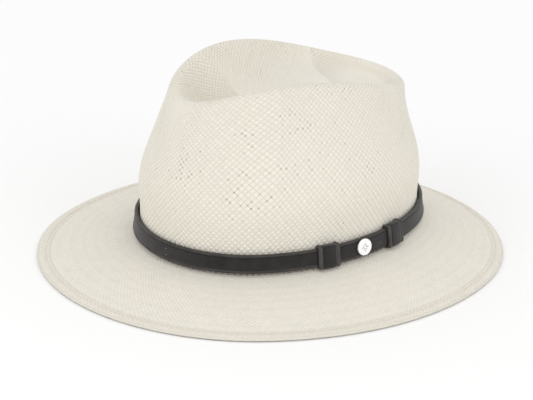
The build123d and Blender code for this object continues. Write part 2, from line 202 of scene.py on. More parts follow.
@dataclass
class MeshMaker:
    """Collects points, faces and weave coordinates, and turns them into one mesh object."""

    points: list[np.ndarray] = field(default_factory=list)
    faces: list[tuple[int, ...]] = field(default_factory=list)
    weave: list[tuple[float, float]] = field(default_factory=list)
    marks: dict[str, list[np.ndarray]] = field(default_factory=lambda: {REACH: [], DEPTH: []})
    count: int = 0

    def add_points(self, points: np.ndarray, reach: np.ndarray | float = 0.0, depth: np.ndarray | float = 0.0) -> int:
        """Adds points in metres.

        Args:
            points: rows of x, y, z.
            reach: value for each point in the REACH attribute.
            depth: value for each point in the DEPTH attribute.

        Returns:
            The number of the first one.
        """
        first = self.count
        self.points.append(points.reshape(-1, 3))
        self.count += len(self.points[-1])
        for name, values in ((REACH, reach), (DEPTH, depth)):
            self.marks[name].append(np.broadcast_to(np.ravel(values), self.count - first))
        return first

    def add_grid(
        self, grid: np.ndarray, closed_rows: bool = True, closed_columns: bool = False, flip: bool = False
    ) -> int:
        """Adds a grid of points with a quad in each cell.

        Args:
            grid: points in metres, as rows, columns, xyz.
            closed_rows: the last column joins the first.
            closed_columns: the last row joins the first.
            flip: turns the faces over.

        Returns:
            The number of the first point.
        """
        rows, columns = grid.shape[:2]
        first = self.add_points(grid)
        for r in range(rows if closed_columns else rows - 1):
            low, high = first + r * columns, first + (r + 1) % rows * columns
            for c in range(columns if closed_rows else columns - 1):
                d = (c + 1) % columns
                quad = (low + c, low + d, high + d, high + c)
                self.faces.append(quad[::-1] if flip else quad)
        return first

    def build(self, name: str, material: bpy.types.Material, smooth: bool = True) -> bpy.types.Object:
        """Makes the object.

        Args:
            name: the piece's name.
            material: its finish.
            smooth: smooth shading.

        Returns:
            The object, linked to the scene.
        """
        mesh = bpy.data.meshes.new(name)
        mesh.from_pydata(np.concatenate(self.points).tolist(), [], self.faces)
        if self.weave:
            layer = mesh.uv_layers.new(name=WEAVE)
            layer.data.foreach_set("uv", np.array(self.weave, np.float32).ravel())
            for mark, values in self.marks.items():
                attribute = mesh.attributes.new(mark, "FLOAT", "POINT")
                attribute.data.foreach_set("value", np.concatenate(values).astype(np.float32))
        mesh.materials.append(material)
        mesh.polygons.foreach_set("use_smooth", [smooth] * len(mesh.polygons))
        mesh.validate()
        piece = bpy.data.objects.new(name, mesh)
        bpy.context.scene.collection.objects.link(piece)
        return piece


def install(piece: bpy.types.Object, body: Body, slot: str, *nodes: str) -> None:
    """Sets a piece on its body, and hides the CAD nodes that it stands for.

    Args:
        piece: the finished object.
        body: the CAD body it rides on.
        slot: not used.
        nodes: CAD nodes that it replaces.
    """
    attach(piece, body.value)
    if nodes:
        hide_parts(*nodes)
    LOG.info("%s: %d faces on %s", piece.name, len(piece.data.polygons), body.value)


# ---------------------------------------------------------------- the head oval
@dataclass(frozen=True)
class HeadOval:
    """The oval of four tangent arcs at the break, and the plane that it lies in."""

    half_length: float = 103.3
    half_width: float = 84.0
    end_radius: float = 77.7
    forward: float = 5.4  # the plane's origin behind the middle of the brim
    height: float = 20.2
    lean: float = math.radians(2.5)
    taper: float = 0.121  # inward per millimetre of height at the foot of the crown

    @property
    def end_centre(self) -> float:
        """Distance of the end arcs' centres from the middle."""
        return self.half_length - self.end_radius

    @property
    def side_radius(self) -> float:
        """Radius of the two long side arcs."""
        reach = self.half_width**2 + self.end_centre**2 - self.end_radius**2
        return reach / (2 * (self.half_width - self.end_radius))

    @property
    def side_centre(self) -> float:
        """Distance of the side arcs' centres beyond the middle."""
        return self.side_radius - self.half_width

    @property
    def side_span(self) -> float:
        """Half angle of a side arc, in degrees."""
        return math.degrees(math.atan2(self.end_centre, self.side_centre))

    def headings(self, count: int) -> np.ndarray:
        """Directions of the outward normal at points evenly spaced along the oval.

        Args:
            count: how many points, from the back round by the wearer's right.

        Returns:
            Angles from +X in radians.
        """
        span = self.side_span
        stops = np.array([90, 180 - span, 180 + span, 360 - span, 360 + span, 450])
        radii = np.array([self.end_radius, self.side_radius] * 2 + [self.end_radius])
        lengths = np.concatenate([[0], np.cumsum(np.diff(stops) * radii)])
        steps = np.arange(count) / count * lengths[-1]
        return np.radians(np.interp(steps, lengths, stops))

    def points(self, heading: np.ndarray, grow: np.ndarray | float = 0.0) -> np.ndarray:
        """Points of the oval, grown outward.

        Args:
            heading: angles of the outward normal.
            grow: distance outward.

        Returns:
            x and y on the plane, in millimetres.
        """
        c, s = np.cos(heading), np.sin(heading)
        beside = np.abs(c) > math.cos(math.radians(self.side_span))
        x = np.where(beside, -np.sign(c) * self.side_centre, 0)
        y = np.where(beside, 0, np.sign(s) * self.end_centre)
        radius = np.where(beside, self.side_radius, self.end_radius) + grow
        return np.stack([x + radius * c, y + radius * s], -1)

    def to_frame(self, points: np.ndarray) -> np.ndarray:
        """Turns points on the plane into the frame.

        Args:
            points: millimetres, the last axis x, y and height above the break's plane.

        Returns:
            Metres in the frame.
        """
        c, s = math.cos(self.lean), math.sin(self.lean)
        x, y, z = points[..., 0], points[..., 1], points[..., 2]
        moved = np.stack([x, self.forward + y * c - z * s, self.height + y * s + z * c], -1)
        return moved * MM

    def sweep(self, heading: np.ndarray, outward: np.ndarray, upward: np.ndarray) -> np.ndarray:
        """Carries a section along the oval.

        Args:
            heading: outward normal's angle at each station.
            outward: distance of the section's points from the straw at the break, or rows of them.
            upward: their height above the break's plane, or rows of them.

        Returns:
            Points in metres, as stations, section points, xyz.
        """
        turned = np.broadcast_to(heading[:, None], (len(heading), np.shape(outward)[-1]))
        flat = self.points(turned, np.broadcast_to(outward, turned.shape))
        height = np.broadcast_to(upward, turned.shape)[..., None]
        return self.to_frame(np.concatenate([flat, height], -1))


HEAD = HeadOval()


def grid_normals(grid: np.ndarray) -> np.ndarray:
    """Unit normals of a grid that is closed along its rows.

    Args:
        grid: points, as rows, columns, xyz.

    Returns:
        Outward normals of the same shape.
    """
    along = np.roll(grid, -1, axis=1) - np.roll(grid, 1, axis=1)
    up = np.gradient(grid, axis=0)
    normals = np.cross(along, up)
    return normals / (np.linalg.norm(normals, axis=-1, keepdims=True) + 1e-12)


def hermite(start: np.ndarray, end: np.ndarray, leave: np.ndarray, arrive: np.ndarray, t: np.ndarray) -> np.ndarray:
    """Smooth curve for each column between two points with given end directions.

    Args:
        start: first point of each column.
        end: last point of each column.
        leave: tangent at the start.
        arrive: tangent at the end.
        t: places along the curve, 0 to 1.

    Returns:
        Points as rows of t, columns, xyz.
    """
    t = t[:, None, None]
    a, b = 2 * t**3 - 3 * t**2 + 1, t**3 - 2 * t**2 + t
    c, d = -2 * t**3 + 3 * t**2, t**3 - t**2
    return a * start + b * leave + c * end + d * arrive


# ---------------------------------------------------------------- finishes
@dataclass(frozen=True)
class Finish:
    """What every finish has: a name, a colour and a gloss, set on the shader's own sockets."""

    name: str
    colour: str
    roughness: float = 0.6
    specular: float = 0.5

    def material(self) -> bpy.types.Material:
        """Makes the material once, and gives the same one each time.

        Returns:
            The material.
        """
        made = bpy.data.materials.get(self.name)
        if made is None:
            made = bpy.data.materials.new(self.name)
            made.use_nodes = True
            tree = made.node_tree
            shader = tree.nodes["Principled BSDF"]
            shader.inputs["Base Color"].default_value = linear(self.colour)
            shader.inputs["Roughness"].default_value = self.roughness
            shader.inputs["Specular IOR Level"].default_value = self.specular
            made.diffuse_color = linear(self.colour)
            self.dress(tree, shader)
        return made

    def dress(self, tree: bpy.types.NodeTree, shader: bpy.types.Node) -> None:
        """Adds the pattern of this finish to its shader."""

    def tint(self, tree: bpy.types.NodeTree, shader: bpy.types.Node, tone: bpy.types.NodeSocket) -> None:
        """Makes the finish's colour lighter or darker from place to place.

        Args:
            tree: the material's nodes.
            shader: its principled shader.
            tone: what the colour is multiplied by.
        """
        colour = linear(self.colour)[:3]
        toned = add_node(tree, "VectorMath", {"operation": "SCALE"}, {0: colour, "Scale": tone}).outputs[0]
        tree.links.new(toned, shader.inputs["Base Color"])

    def bump(
        self, tree: bpy.types.NodeTree, shader: bpy.types.Node, height: bpy.types.NodeSocket, depth: float
    ) -> None:
        """Raises the surface by a height from 0 to 1.

        Args:
            tree: the material's nodes.
            shader: its principled shader.
            height: the height's socket.
            depth: millimetres between 0 and 1.
        """
        bump = add_node(tree, "Bump", inputs={"Height": height, "Distance": depth * MM})
        tree.links.new(bump.outputs[0], shader.inputs["Normal"])


@dataclass(frozen=True)
class WovenStraw(Finish):
    """Paper straw, twisted flat, woven in a basket weave, bleached and blocked under steam.

    The eye sees small rounded squares in a diagonal grid, painted shade in the grooves between neighbours, painted
    shade in the pinholes at some corners where the strands don't quite meet, and strands of slightly different
    whiteness.
    """

    # Painted shade: the colour of the grooves between squares, where shade falls
    groove_shade: str = "#D6CFBE"
    # Painted shade: the colour seen in the pinholes
    pinhole_shade: str = "#A79B86"
    ring_pitch: float = 7.6  # millimetres between the faint rings that blocking leaves in the brim

    def dress(self, tree: bpy.types.NodeTree, shader: bpy.types.Node) -> None:
        """Draws the weave in strand counts, which the mesh carries in its UV map.

        Args:
            tree: the material's nodes.
            shader: its principled shader.
        """
        strands = add_node(tree, "UVMap", {"uv_map": WEAVE}).outputs[0]
        place = object_place(tree)
        part = add_node(tree, "VectorMath", {"operation": "FRACTION"}, {0: strands}).outputs[0]
        centred = add_node(tree, "VectorMath", {"operation": "SUBTRACT"}, {0: part, 1: (0.5, 0.5, 0)}).outputs[0]
        off = add_node(tree, "VectorMath", {"operation": "ABSOLUTE"}, {0: centred}).outputs[0]
        sides = add_node(tree, "SeparateXYZ", inputs={0: off})
        edge = arithmetic(tree, "MAXIMUM", sides.outputs[0], sides.outputs[1])
        corner = arithmetic(tree, "MINIMUM", sides.outputs[0], sides.outputs[1])

        # Rounded pillow of each square
        squares = add_node(tree, "VectorMath", {"operation": "LENGTH"}, {0: off}).outputs["Value"]
        rounded = arithmetic(tree, "MULTIPLY_ADD", squares, 0.35, edge)
        pillow = ramp(tree, rounded, (0.22, 0.70), (1.0, 0.0), smooth=True)
        # Mask of the painted shade in the grooves between squares, faded with the weave's depth
        groove_shade = ramp(tree, edge, (0.36, 0.5), (0.0, 1.0), smooth=True)

        shown = add_node(tree, "Attribute", {"attribute_name": DEPTH}).outputs["Fac"]
        groove_shade = arithmetic(tree, "MULTIPLY", groove_shade, shown)

        # Pinholes at some of the corners: sunk in the bump, with painted shade for their colour
        shifted = add_node(tree, "VectorMath", {"operation": "ADD"}, {0: strands, 1: (0.5, 0.5, 0)}).outputs[0]
        corner_cell = add_node(tree, "VectorMath", {"operation": "FLOOR"}, {0: shifted}).outputs[0]
        luck = add_node(tree, "TexWhiteNoise", {"noise_dimensions": "2D"}, {"Vector": corner_cell}).outputs["Value"]
        patch = noise(tree, place, 38.0, 1.0)
        chance = arithmetic(tree, "MULTIPLY", luck, patch)
        open_corner = ramp(tree, chance, (0.42, 0.60), (0.0, 1.0))
        hole = ramp(tree, corner, (0.31, 0.44), (0.0, 1.0), smooth=True)
        opened = arithmetic(tree, "MULTIPLY", hole, open_corner)
        pinhole_shade = arithmetic(tree, "MULTIPLY", opened, shown)

        # Whiteness of each square, of each long strand and of whole areas
        cell = add_node(tree, "VectorMath", {"operation": "FLOOR"}, {0: strands}).outputs[0]
        tone = add_node(tree, "TexWhiteNoise", {"noise_dimensions": "2D"}, {"Vector": cell}).outputs["Value"]
        ids = add_node(tree, "SeparateXYZ", inputs={0: cell})
        total = arithmetic(tree, "ADD", ids.outputs[0], ids.outputs[1])
        parity = arithmetic(tree, "FLOORED_MODULO", total, 2.0)
        strand = add_node(
            tree, "Mix", {"data_type": "FLOAT"}, {0: parity, 2: ids.outputs[0], 3: ids.outputs[1]}
        ).outputs[0]
        streak = add_node(tree, "TexWhiteNoise", {"noise_dimensions": "1D"}, {"W": strand}).outputs["Value"]
        area = noise(tree, place, 22.0, 3.0)
        both = arithmetic(tree, "ADD", tone, streak)
        mixed = arithmetic(tree, "ADD", both, area)
        light = ramp(tree, mixed, (0.3, 2.5), (0.945, 1.03))

        # Faint rings round the brim
        reach = add_node(tree, "Attribute", {"attribute_name": REACH}).outputs["Fac"]
        turn = arithmetic(tree, "MULTIPLY", reach, 2 * math.pi / self.ring_pitch)
        wave = arithmetic(tree, "SINE", turn)
        ring = ramp(tree, wave, (0.2, 1.0), (1.0, 0.972))
        lit = arithmetic(tree, "MULTIPLY", light, ring)

        base = add_node(
            tree, "VectorMath", {"operation": "SCALE"}, {0: linear(self.colour)[:3], "Scale": lit}
        ).outputs[0]
        # Painted shade: darker in the grooves, darker still in the pinholes
        shaded_in_grooves = blend(tree, groove_shade, base, linear(self.groove_shade))
        shaded_in_pinholes = blend(tree, pinhole_shade, shaded_in_grooves, linear(self.pinhole_shade))
        tree.links.new(shaded_in_pinholes, shader.inputs["Base Color"])

        # Twist lines of the paper along each strand, about four to a strand
        lines = noise(tree, strands, 5.0, 2.0)
        height = arithmetic(tree, "MULTIPLY_ADD", lines, 0.18, pillow)
        sunk = arithmetic(tree, "SUBTRACT", height, opened)
        faded = arithmetic(tree, "MULTIPLY", sunk, shown)
        self.bump(tree, shader, faded, 0.32)


@dataclass(frozen=True)
class Leather(Finish):
    """Drum-dyed cowhide with a pressed grain: small pebbles, a painted sheen on their tops, painted shade between."""

    # Darkest colour: the uneven dye, and painted shade between the pebbles
    shade: str = "#1B1817"
    grain: float = 0.7  # millimetres across a pebble
    relief: float = 0.06

    def dress(self, tree: bpy.types.NodeTree, shader: bpy.types.Node) -> None:
        """Adds pebbled grain, uneven dye, a painted sheen on the pebbles' tops and painted shade between them.

        Args:
            tree: the material's nodes.
            shader: its principled shader.
        """
        place = object_place(tree)
        pebbles = add_node(
            tree, "TexVoronoi", {"feature": "DISTANCE_TO_EDGE"}, {"Vector": place, "Scale": 1 / (self.grain * MM)}
        ).outputs["Distance"]
        pebble = ramp(tree, pebbles, (0.0, 0.16), (0.0, 1.0))
        dye = noise(tree, place, 90.0, 4.0)
        # Painted sheen and shade: lighter on the pebbles' tops, darker between them, mixed with the uneven dye
        share = arithmetic(tree, "MULTIPLY_ADD", pebble, 0.45, dye)
        spread = ramp(tree, share, (0.45, 1.0), (0.0, 1.0))
        colour = blend(tree, spread, linear(self.shade), linear(self.colour))
        tree.links.new(colour, shader.inputs["Base Color"])
        self.bump(tree, shader, pebble, self.relief)


@dataclass(frozen=True)
class Suede(Finish):
    """Buffed split leather: a short dull nap that takes light unevenly, with a few white specks of lint."""

    shade: str = "#141212"
    lint: str = "#B9B4AE"

    def dress(self, tree: bpy.types.NodeTree, shader: bpy.types.Node) -> None:
        """Adds the nap, its brushed patches and the lint.

        Args:
            tree: the material's nodes.
            shader: its principled shader.
        """
        shader.inputs["Sheen Weight"].default_value = 0.25
        shader.inputs["Sheen Roughness"].default_value = 0.6
        place = object_place(tree)
        nap = noise(tree, place, 1800.0, 3.0)
        brushed = noise(tree, place, 140.0, 3.0)
        share = arithmetic(tree, "MULTIPLY", nap, brushed)
        spread = ramp(tree, share, (0.12, 0.42), (0.0, 1.0))
        colour = blend(tree, spread, linear(self.shade), linear(self.colour))
        # One speck in some cells of a 5 mm lattice, about 0.3 mm across
        specks = add_node(tree, "TexVoronoi", inputs={"Vector": place, "Scale": 200.0})
        near = ramp(tree, specks.outputs["Distance"], (0.045, 0.075), (1.0, 0.0))
        pick = add_node(tree, "SeparateColor", inputs={0: specks.outputs["Color"]}).outputs[0]
        rare = ramp(tree, pick, (0.80, 0.84), (0.0, 0.8))
        speck = arithmetic(tree, "MULTIPLY", near, rare)
        spotted = blend(tree, speck, colour, linear(self.lint))
        tree.links.new(spotted, shader.inputs["Base Color"])
        self.bump(tree, shader, nap, 0.12)


@dataclass(frozen=True)
class Enamel(Finish):
    """Hard white enamel, stoved and left glossy, with a slight orange peel."""

    def dress(self, tree: bpy.types.NodeTree, shader: bpy.types.Node) -> None:
        """Adds the gloss coat and the orange peel.

        Args:
            tree: the material's nodes.
            shader: its principled shader.
        """
        shader.inputs["Coat Weight"].default_value = 0.4
        shader.inputs["Coat Roughness"].default_value = 0.12
        place = object_place(tree)
        peel = noise(tree, place, 900.0, 1.0)
        cloud = ramp(tree, peel, (0.2, 0.8), (0.97, 1.0))
        self.tint(tree, shader, cloud)
        self.bump(tree, shader, peel, 0.01)


@dataclass(frozen=True)
class DrawnMetal(Finish):
    """Drawn or turned metal: fine lines in its shine, and a little tarnish."""

    def dress(self, tree: bpy.types.NodeTree, shader: bpy.types.Node) -> None:
        """Adds the drawing lines and the tarnish.

        Args:
            tree: the material's nodes.
            shader: its principled shader.
        """
        shader.inputs["Metallic"].default_value = 1.0
        place = object_place(tree)
        stretched = add_node(tree, "Mapping", inputs={"Vector": place, "Scale": (1.0, 1.0, 12.0)}).outputs[0]
        lines = noise(tree, stretched, 700.0, 3.0)
        rough = ramp(tree, lines, (0.3, 0.7), (self.roughness - 0.08, self.roughness + 0.1))
        tree.links.new(rough, shader.inputs["Roughness"])
        tarnish = ramp(tree, lines, (0.3, 0.8), (1.0, 0.8))
        self.tint(tree, shader, tarnish)
        self.bump(tree, shader, lines, 0.01)


@dataclass(frozen=True)
class SpunThread(Finish):
    """Spun polyester sewing thread: plies twisted round each other, with a dull sheen."""

    ply: float = 0.55  # millimetres between twists

    def dress(self, tree: bpy.types.NodeTree, shader: bpy.types.Node) -> None:
        """Adds the twist and the fuzz between plies.

        Args:
            tree: the material's nodes.
            shader: its principled shader.
        """
        shader.inputs["Sheen Weight"].default_value = 0.2
        place = object_place(tree)
        twist = add_node(
            tree,
            "TexWave",
            {"bands_direction": "DIAGONAL"},
            {"Vector": place, "Scale": 0.05 * 2 * math.pi / (self.ply * MM), "Distortion": 0.6},
        ).outputs[1]
        tone = ramp(tree, twist, (0.0, 1.0), (0.82, 1.04))
        self.tint(tree, shader, tone)
        self.bump(tree, shader, twist, 0.06)


@dataclass(frozen=True)
class WovenCloth(Finish):
    """Woven cloth tape: diagonal twill lines or the cross ribs of grosgrain, drawn along the piece's weave map."""

    rib: float = 1.1  # millimetres between ribs, about twice the real ones so that they show
    slant: float = 1.0  # how far the ribs lean: 1 for twill, 0 for grosgrain

    def dress(self, tree: bpy.types.NodeTree, shader: bpy.types.Node) -> None:
        """Adds the ribs and the yarns that cross them.

        Args:
            tree: the material's nodes.
            shader: its principled shader.
        """
        shader.inputs["Sheen Weight"].default_value = 0.15
        place = add_node(tree, "UVMap", {"uv_map": WEAVE}).outputs[0]
        axes = add_node(tree, "SeparateXYZ", inputs={0: place})
        lean = arithmetic(tree, "MULTIPLY_ADD", axes.outputs[1], self.slant, axes.outputs[0])
        turn = arithmetic(tree, "MULTIPLY", lean, 2 * math.pi / self.rib)
        wave = arithmetic(tree, "SINE", turn)
        fuzz = noise(tree, place, 2.4, 3.0)
        height = arithmetic(tree, "MULTIPLY_ADD", wave, 0.35, fuzz)
        tone = ramp(tree, height, (0.1, 0.9), (0.86, 1.04))
        self.tint(tree, shader, tone)
        self.bump(tree, shader, height, 0.10)


@dataclass(frozen=True)
class ExtrudedPlastic(Finish):
    """Extruded polyethylene rod: waxy, with faint die lines along it."""

    def dress(self, tree: bpy.types.NodeTree, shader: bpy.types.Node) -> None:
        """Adds the waxy depth and the die lines.

        Args:
            tree: the material's nodes.
            shader: its principled shader.
        """
        shader.inputs["Subsurface Weight"].default_value = 0.2
        shader.inputs["Subsurface Scale"].default_value = 0.4 * MM
        place = object_place(tree)
        lines = noise(tree, place, 420.0, 2.0)
        tone = ramp(tree, lines, (0.2, 0.8), (0.93, 1.0))
        self.tint(tree, shader, tone)
        self.bump(tree, shader, lines, 0.02)


@dataclass(frozen=True)
class Paper(Finish):
    """Seamless background paper: matt, with a barely visible tooth."""

    def dress(self, tree: bpy.types.NodeTree, shader: bpy.types.Node) -> None:
        """Adds the tooth of the paper.

        Args:
            tree: the material's nodes.
            shader: its principled shader.
        """
        place = object_place(tree)
        tooth = noise(tree, place, 300.0, 2.0)
        self.bump(tree, shader, tooth, 0.02)


class Finishes:
    """The finishes of this hat."""

    straw = WovenStraw("bleached_paper_straw_woven", "#E9E4D9", 0.62, 0.25)
    strap = Leather("black_brown_cowhide_rolled", "#3E3937", 0.42, 0.45)
    # Lighter than the strap's leather of the same hide: partly grey edge paint, partly a painted sheen
    keeper = Leather("black_brown_cowhide_edge_paint_and_sheen", "#4A4543", 0.45, 0.45)
    patch = Leather("brown_split_leather_skived", "#4A3A2E", 0.75, 0.3, grain=1.1)
    suede = Suede("black_suede_buffed", "#2B2828", 0.95, 0.15)
    enamel = Enamel("white_enamel_stoved", "#FAFAFA", 0.25, 0.5)
    ornament = Enamel("grey_enamel_printed", "#A2A4A8", 0.35, 0.4)
    badge_metal = DrawnMetal("zinc_alloy_turned", "#8E8C88", 0.35)
    wire = DrawnMetal("spring_steel_drawn", "#9A9A98", 0.3)
    straw_thread = SpunThread("ivory_thread_spun", "#EAE3D2", 0.7, 0.2)
    band_thread = SpunThread("cream_thread_spun", "#D9CFBC", 0.7, 0.2)
    tack_thread = SpunThread("black_thread_spun", "#1E1C1C", 0.7, 0.2)
    twill = WovenCloth("cream_cotton_twill", "#E4DAC6", 0.85, 0.2)
    ribbon = WovenCloth("black_grosgrain_ribbon", "#232122", 0.55, 0.4, rib=0.9, slant=0.0)
    reed = ExtrudedPlastic("polyethylene_reed_extruded", "#E8E4DA", 0.4, 0.4)
    paper = Paper("white_background_paper", "#FBFBFB", 0.9, 0.0)


# ---------------------------------------------------------------- straw body
@dataclass
class StrawBody:
    """Crown and brim, woven in one: two skins a straw's thickness apart, with a rolled edge and a folded hem."""

    straw: float = 0.8
    squares: int = 144  # squares of the weave round the crown; the brim has twice as many
    shoulder_tilt: tuple[float, float] = (8.0, 9.2)  # degrees: mean, and how much more in front
    ridge_radius: float = 5.3
    ridge_steps: int = 24
    ridge_inner: float = math.radians(38)  # steepness of the dent's wall where it leaves the ridge
    crest_half_width: float = 54.2
    crest_half_length: float = 84.9
    crest_back: float = 4.4
    crest_side_back: float = 11.5  # the ridge's sides lie this much further back than its ends
    crest_narrow: float = 0.025
    crest_heights: tuple[float, float, float, float] = (108.3, 9.5, -6.8, -3.2)
    wall_leave: float = 0.80
    wall_arrive: float = 1.2
    belly: tuple[float, float, float] = (8.1, 0.8, -3.4)  # swell of the wall: mean, once and twice round
    belly_start: float = 0.1  # share of the way up the wall where the swell begins, above the strap
    pinch_depth: float = 3.6
    pinch_turn: float = 47.0  # degrees round from the front
    pinch_spread: float = 22.0
    pinch_start: float = 0.35  # share of the way up the wall
    pinch_rise: float = 0.6  # share of the wall that it takes up
    floor_middle: float = 12.0
    floor_half_length: float = 56.0
    floor_height: float = 95.0  # highest part of the dent's floor
    floor_peak: float = 25.0  # where that is, behind the middle
    floor_curve: float = 0.0024
    floor_flat: float = 1.5  # how wide the flat of the floor is
    floor_reach: float = 0.985  # share of the way to the floor's middle line where the rows end
    crown_relief: float = 0.14
    brim_relief: float = 0.10
    brim_depth: float = 0.5  # how strongly the finer weave of the brim shows
    fade_from: float = 0.8  # width of a half square in millimetres below which the crown's relief is least
    fade_over: float = 0.7
    fade_least: float = 0.12
    break_pull: float = 0.15  # rounding of the break, in rows of the brim
    break_lift: float = 0.25
    brim_width: float = 65.3
    bead_radius: float = 1.15
    bead_height: float = 1.3
    hem_width: float = 6.5
    hem_lift: float = 1.0  # how far the folded hem rises to the top of the rolled edge
    hem_fold: tuple[float, ...] = (0.025, 0.05, 0.075, 0.1)  # rows of the fold below, as shares of the brim
    bead_turn: tuple[float, float] = (68.0, -140.0)  # degrees, first and last row of the rolled edge
    bead_steps: int = 9
    scallop: float = 0.09  # how far each turn of straw stands out along the rolled edge
    fine_steps: int = 160

    def crown_lines(self, heading: np.ndarray) -> np.ndarray:
        """Lines up the crown's wall, over the ridge and down into the dent, finely sampled.

        Args:
            heading: outward normal's angle of each line at the break.

        Returns:
            Points in millimetres on the break's plane, as rows, lines, xyz.
        """
        c, s = np.cos(heading), np.sin(heading)
        out = np.stack([c, s, 0 * c], -1)
        up = np.array([0.0, 0.0, 1.0])
        turn = np.arctan2(HEAD.half_width * c, -HEAD.half_length * s)
        foot = np.concatenate([HEAD.points(heading), np.zeros((len(c), 1))], -1)
        mean, once, twice, thrice = self.crest_heights
        crest = np.stack(
            [
                self.crest_half_width * np.sin(turn) * (1 - self.crest_narrow * np.cos(turn)),
                self.crest_back - self.crest_half_length * np.cos(turn) + self.crest_side_back * np.sin(turn) ** 2,
                mean + once * np.cos(turn) + twice * np.cos(2 * turn) + thrice * np.cos(3 * turn),
            ],
            -1,
        )
        middle = crest - up * self.ridge_radius

        tilt = np.radians(self.shoulder_tilt[0] + self.shoulder_tilt[1] * np.cos(turn))[:, None]
        inner_angle = math.pi - self.ridge_inner

        def on_ridge(share: float) -> np.ndarray:
            """Points of the ridge's round, from the shoulder at 0 to the dent's wall at 1."""
            angle = tilt + (inner_angle - tilt) * share
            return middle + (out * np.cos(angle) + up * np.sin(angle)) * self.ridge_radius

        shoulder = on_ridge(0)
        rise = (shoulder[:, 2] - foot[:, 2])[:, None]
        t = np.linspace(0, 1, self.fine_steps)
        leave = (up - out * HEAD.taper) * rise * self.wall_leave
        arrive = (up * np.cos(tilt) - out * np.sin(tilt)) * rise * self.wall_arrive
        wall = hermite(foot, shoulder, leave, arrive, t)
        belly = self.belly[0] + self.belly[1] * np.cos(turn) + self.belly[2] * np.cos(2 * turn)
        swell = np.sin(np.pi * np.clip((t - self.belly_start) / (1 - self.belly_start), 0, 1)) ** 2
        wall += swell[:, None, None] * belly[None, :, None] * out
        pinch = np.sin(np.pi * np.clip((t - self.pinch_start) / self.pinch_rise, 0, 1)) ** 2
        away = (np.abs(np.degrees(turn)) - self.pinch_turn) / self.pinch_spread
        wall -= self.pinch_depth * pinch[:, None, None] * np.exp(-(away**2))[None, :, None] * out

        ridge = np.stack([on_ridge(share) for share in np.linspace(0, 1, self.ridge_steps)[1:]])
        inner = ridge[-1]
        along = self.floor_middle - self.floor_half_length * np.cos(turn)
        floor = self.floor_height - self.floor_curve * (along - self.floor_peak) ** 2
        bottom = np.stack([0 * along, along, floor], -1)
        across = bottom - inner
        flat = across * [1, 1, 0]
        length = np.linalg.norm(across, axis=-1, keepdims=True)
        dive = (-out * math.sin(self.ridge_inner) - up * math.cos(self.ridge_inner)) * length
        fall = -2 * self.floor_curve * (along - self.floor_peak)[:, None] * flat[:, 1:2]
        level = (flat + up * fall) * self.floor_flat
        dent = hermite(inner, bottom, dive, level, np.linspace(0, self.floor_reach, self.fine_steps)[1:])
        return np.concatenate([wall, ridge, dent])

    def brim_lines(self, heading: np.ndarray) -> np.ndarray:
        """Straight lines down the brim, from the break to the rolled edge.

        Args:
            heading: outward normal's angle of each line.

        Returns:
            Points in metres in the frame, as rows, lines, xyz.
        """
        foot = HEAD.to_frame(np.concatenate([HEAD.points(heading), np.zeros((len(heading), 1))], -1))
        edge = HEAD.points(heading, self.brim_width - self.bead_height)
        edge = np.concatenate([edge, np.full((len(heading), 1), self.bead_height)], -1) * MM
        t = np.linspace(0, 1, self.fine_steps)[:, None, None]
        hem = np.clip(1 - (1 - t) * self.brim_width / self.hem_width, 0, 1)
        thicker = hem * hem * (3 - 2 * hem) * self.hem_lift * MM
        return foot * (1 - t) + edge * t + np.array([0, 0, 1.0]) * thicker

    @staticmethod
    def in_half_squares(lines: np.ndarray, squares: int) -> np.ndarray:
        """Picks rows so that each is half a square of the weave further on than the last.

        Args:
            lines: finely sampled lines, as rows, lines, xyz.
            squares: squares of the weave all the way round.

        Returns:
            The picked rows.
        """
        round_length = np.linalg.norm(np.roll(lines, -1, axis=1) - lines, axis=-1).sum(1)
        steps = np.linalg.norm(np.diff(lines, axis=0), axis=-1).mean(1)
        pitch = (round_length[1:] + round_length[:-1]) / 2 / squares
        travel = np.concatenate([[0], np.cumsum(steps / pitch)])
        rows = round(travel[-1] * 2)
        wanted = np.linspace(0, travel[-1], rows + 1)
        index = np.interp(wanted, travel, np.arange(len(travel)))
        low = np.minimum(index.astype(int), len(lines) - 2)
        share = (index - low)[:, None, None]
        return lines[low] * (1 - share) + lines[low + 1] * share

    def build(self) -> bpy.types.Object:
        """Makes the woven body as one closed mesh.

        Returns:
            The straw body.
        """
        maker = MeshMaker()
        narrow, wide = 2 * self.squares, 4 * self.squares
        crown = HEAD.to_frame(self.in_half_squares(self.crown_lines(HEAD.headings(narrow)), self.squares))
        brim = self.in_half_squares(self.brim_lines(HEAD.headings(wide)), 2 * self.squares)
        crown_out = grid_normals(crown)
        brim_out = -grid_normals(brim)
        # Rounded corner at the break: the foot of the crown is pulled onto the brim's first row
        brim_top = brim.copy()
        brim_top[0] += (brim[1] - brim[0]) * self.break_pull + np.array([0, 0, self.break_lift * MM])

        width = np.linalg.norm(np.roll(crown, -1, axis=1) - crown, axis=-1)
        fade = np.clip((width / MM - self.fade_from) / self.fade_over, self.fade_least, 1)[..., None]
        outer = crown + crown_out * self.parity(crown.shape) * fade * self.crown_relief * MM
        top = brim_top + brim_out * self.parity(brim.shape) * self.brim_relief * MM
        inner = (crown - crown_out * self.straw * MM)[::2]
        under = (brim - brim_out * self.straw * MM)[::2]

        bead, bead_reach = self.bead_rows(HEAD.headings(wide))
        reach = np.linspace(0, self.brim_width, len(top))

        first_crown = self.grid(maker, outer, 0, flip=False, depth=fade[..., 0])
        first_top = self.grid(maker, top, 0, flip=True, reach=reach, depth=self.brim_depth)
        self.fan(maker, first_crown, first_top, narrow, flip=False)
        self.zip_floor(maker, first_crown + (len(outer) - 1) * narrow, narrow, flip=False)

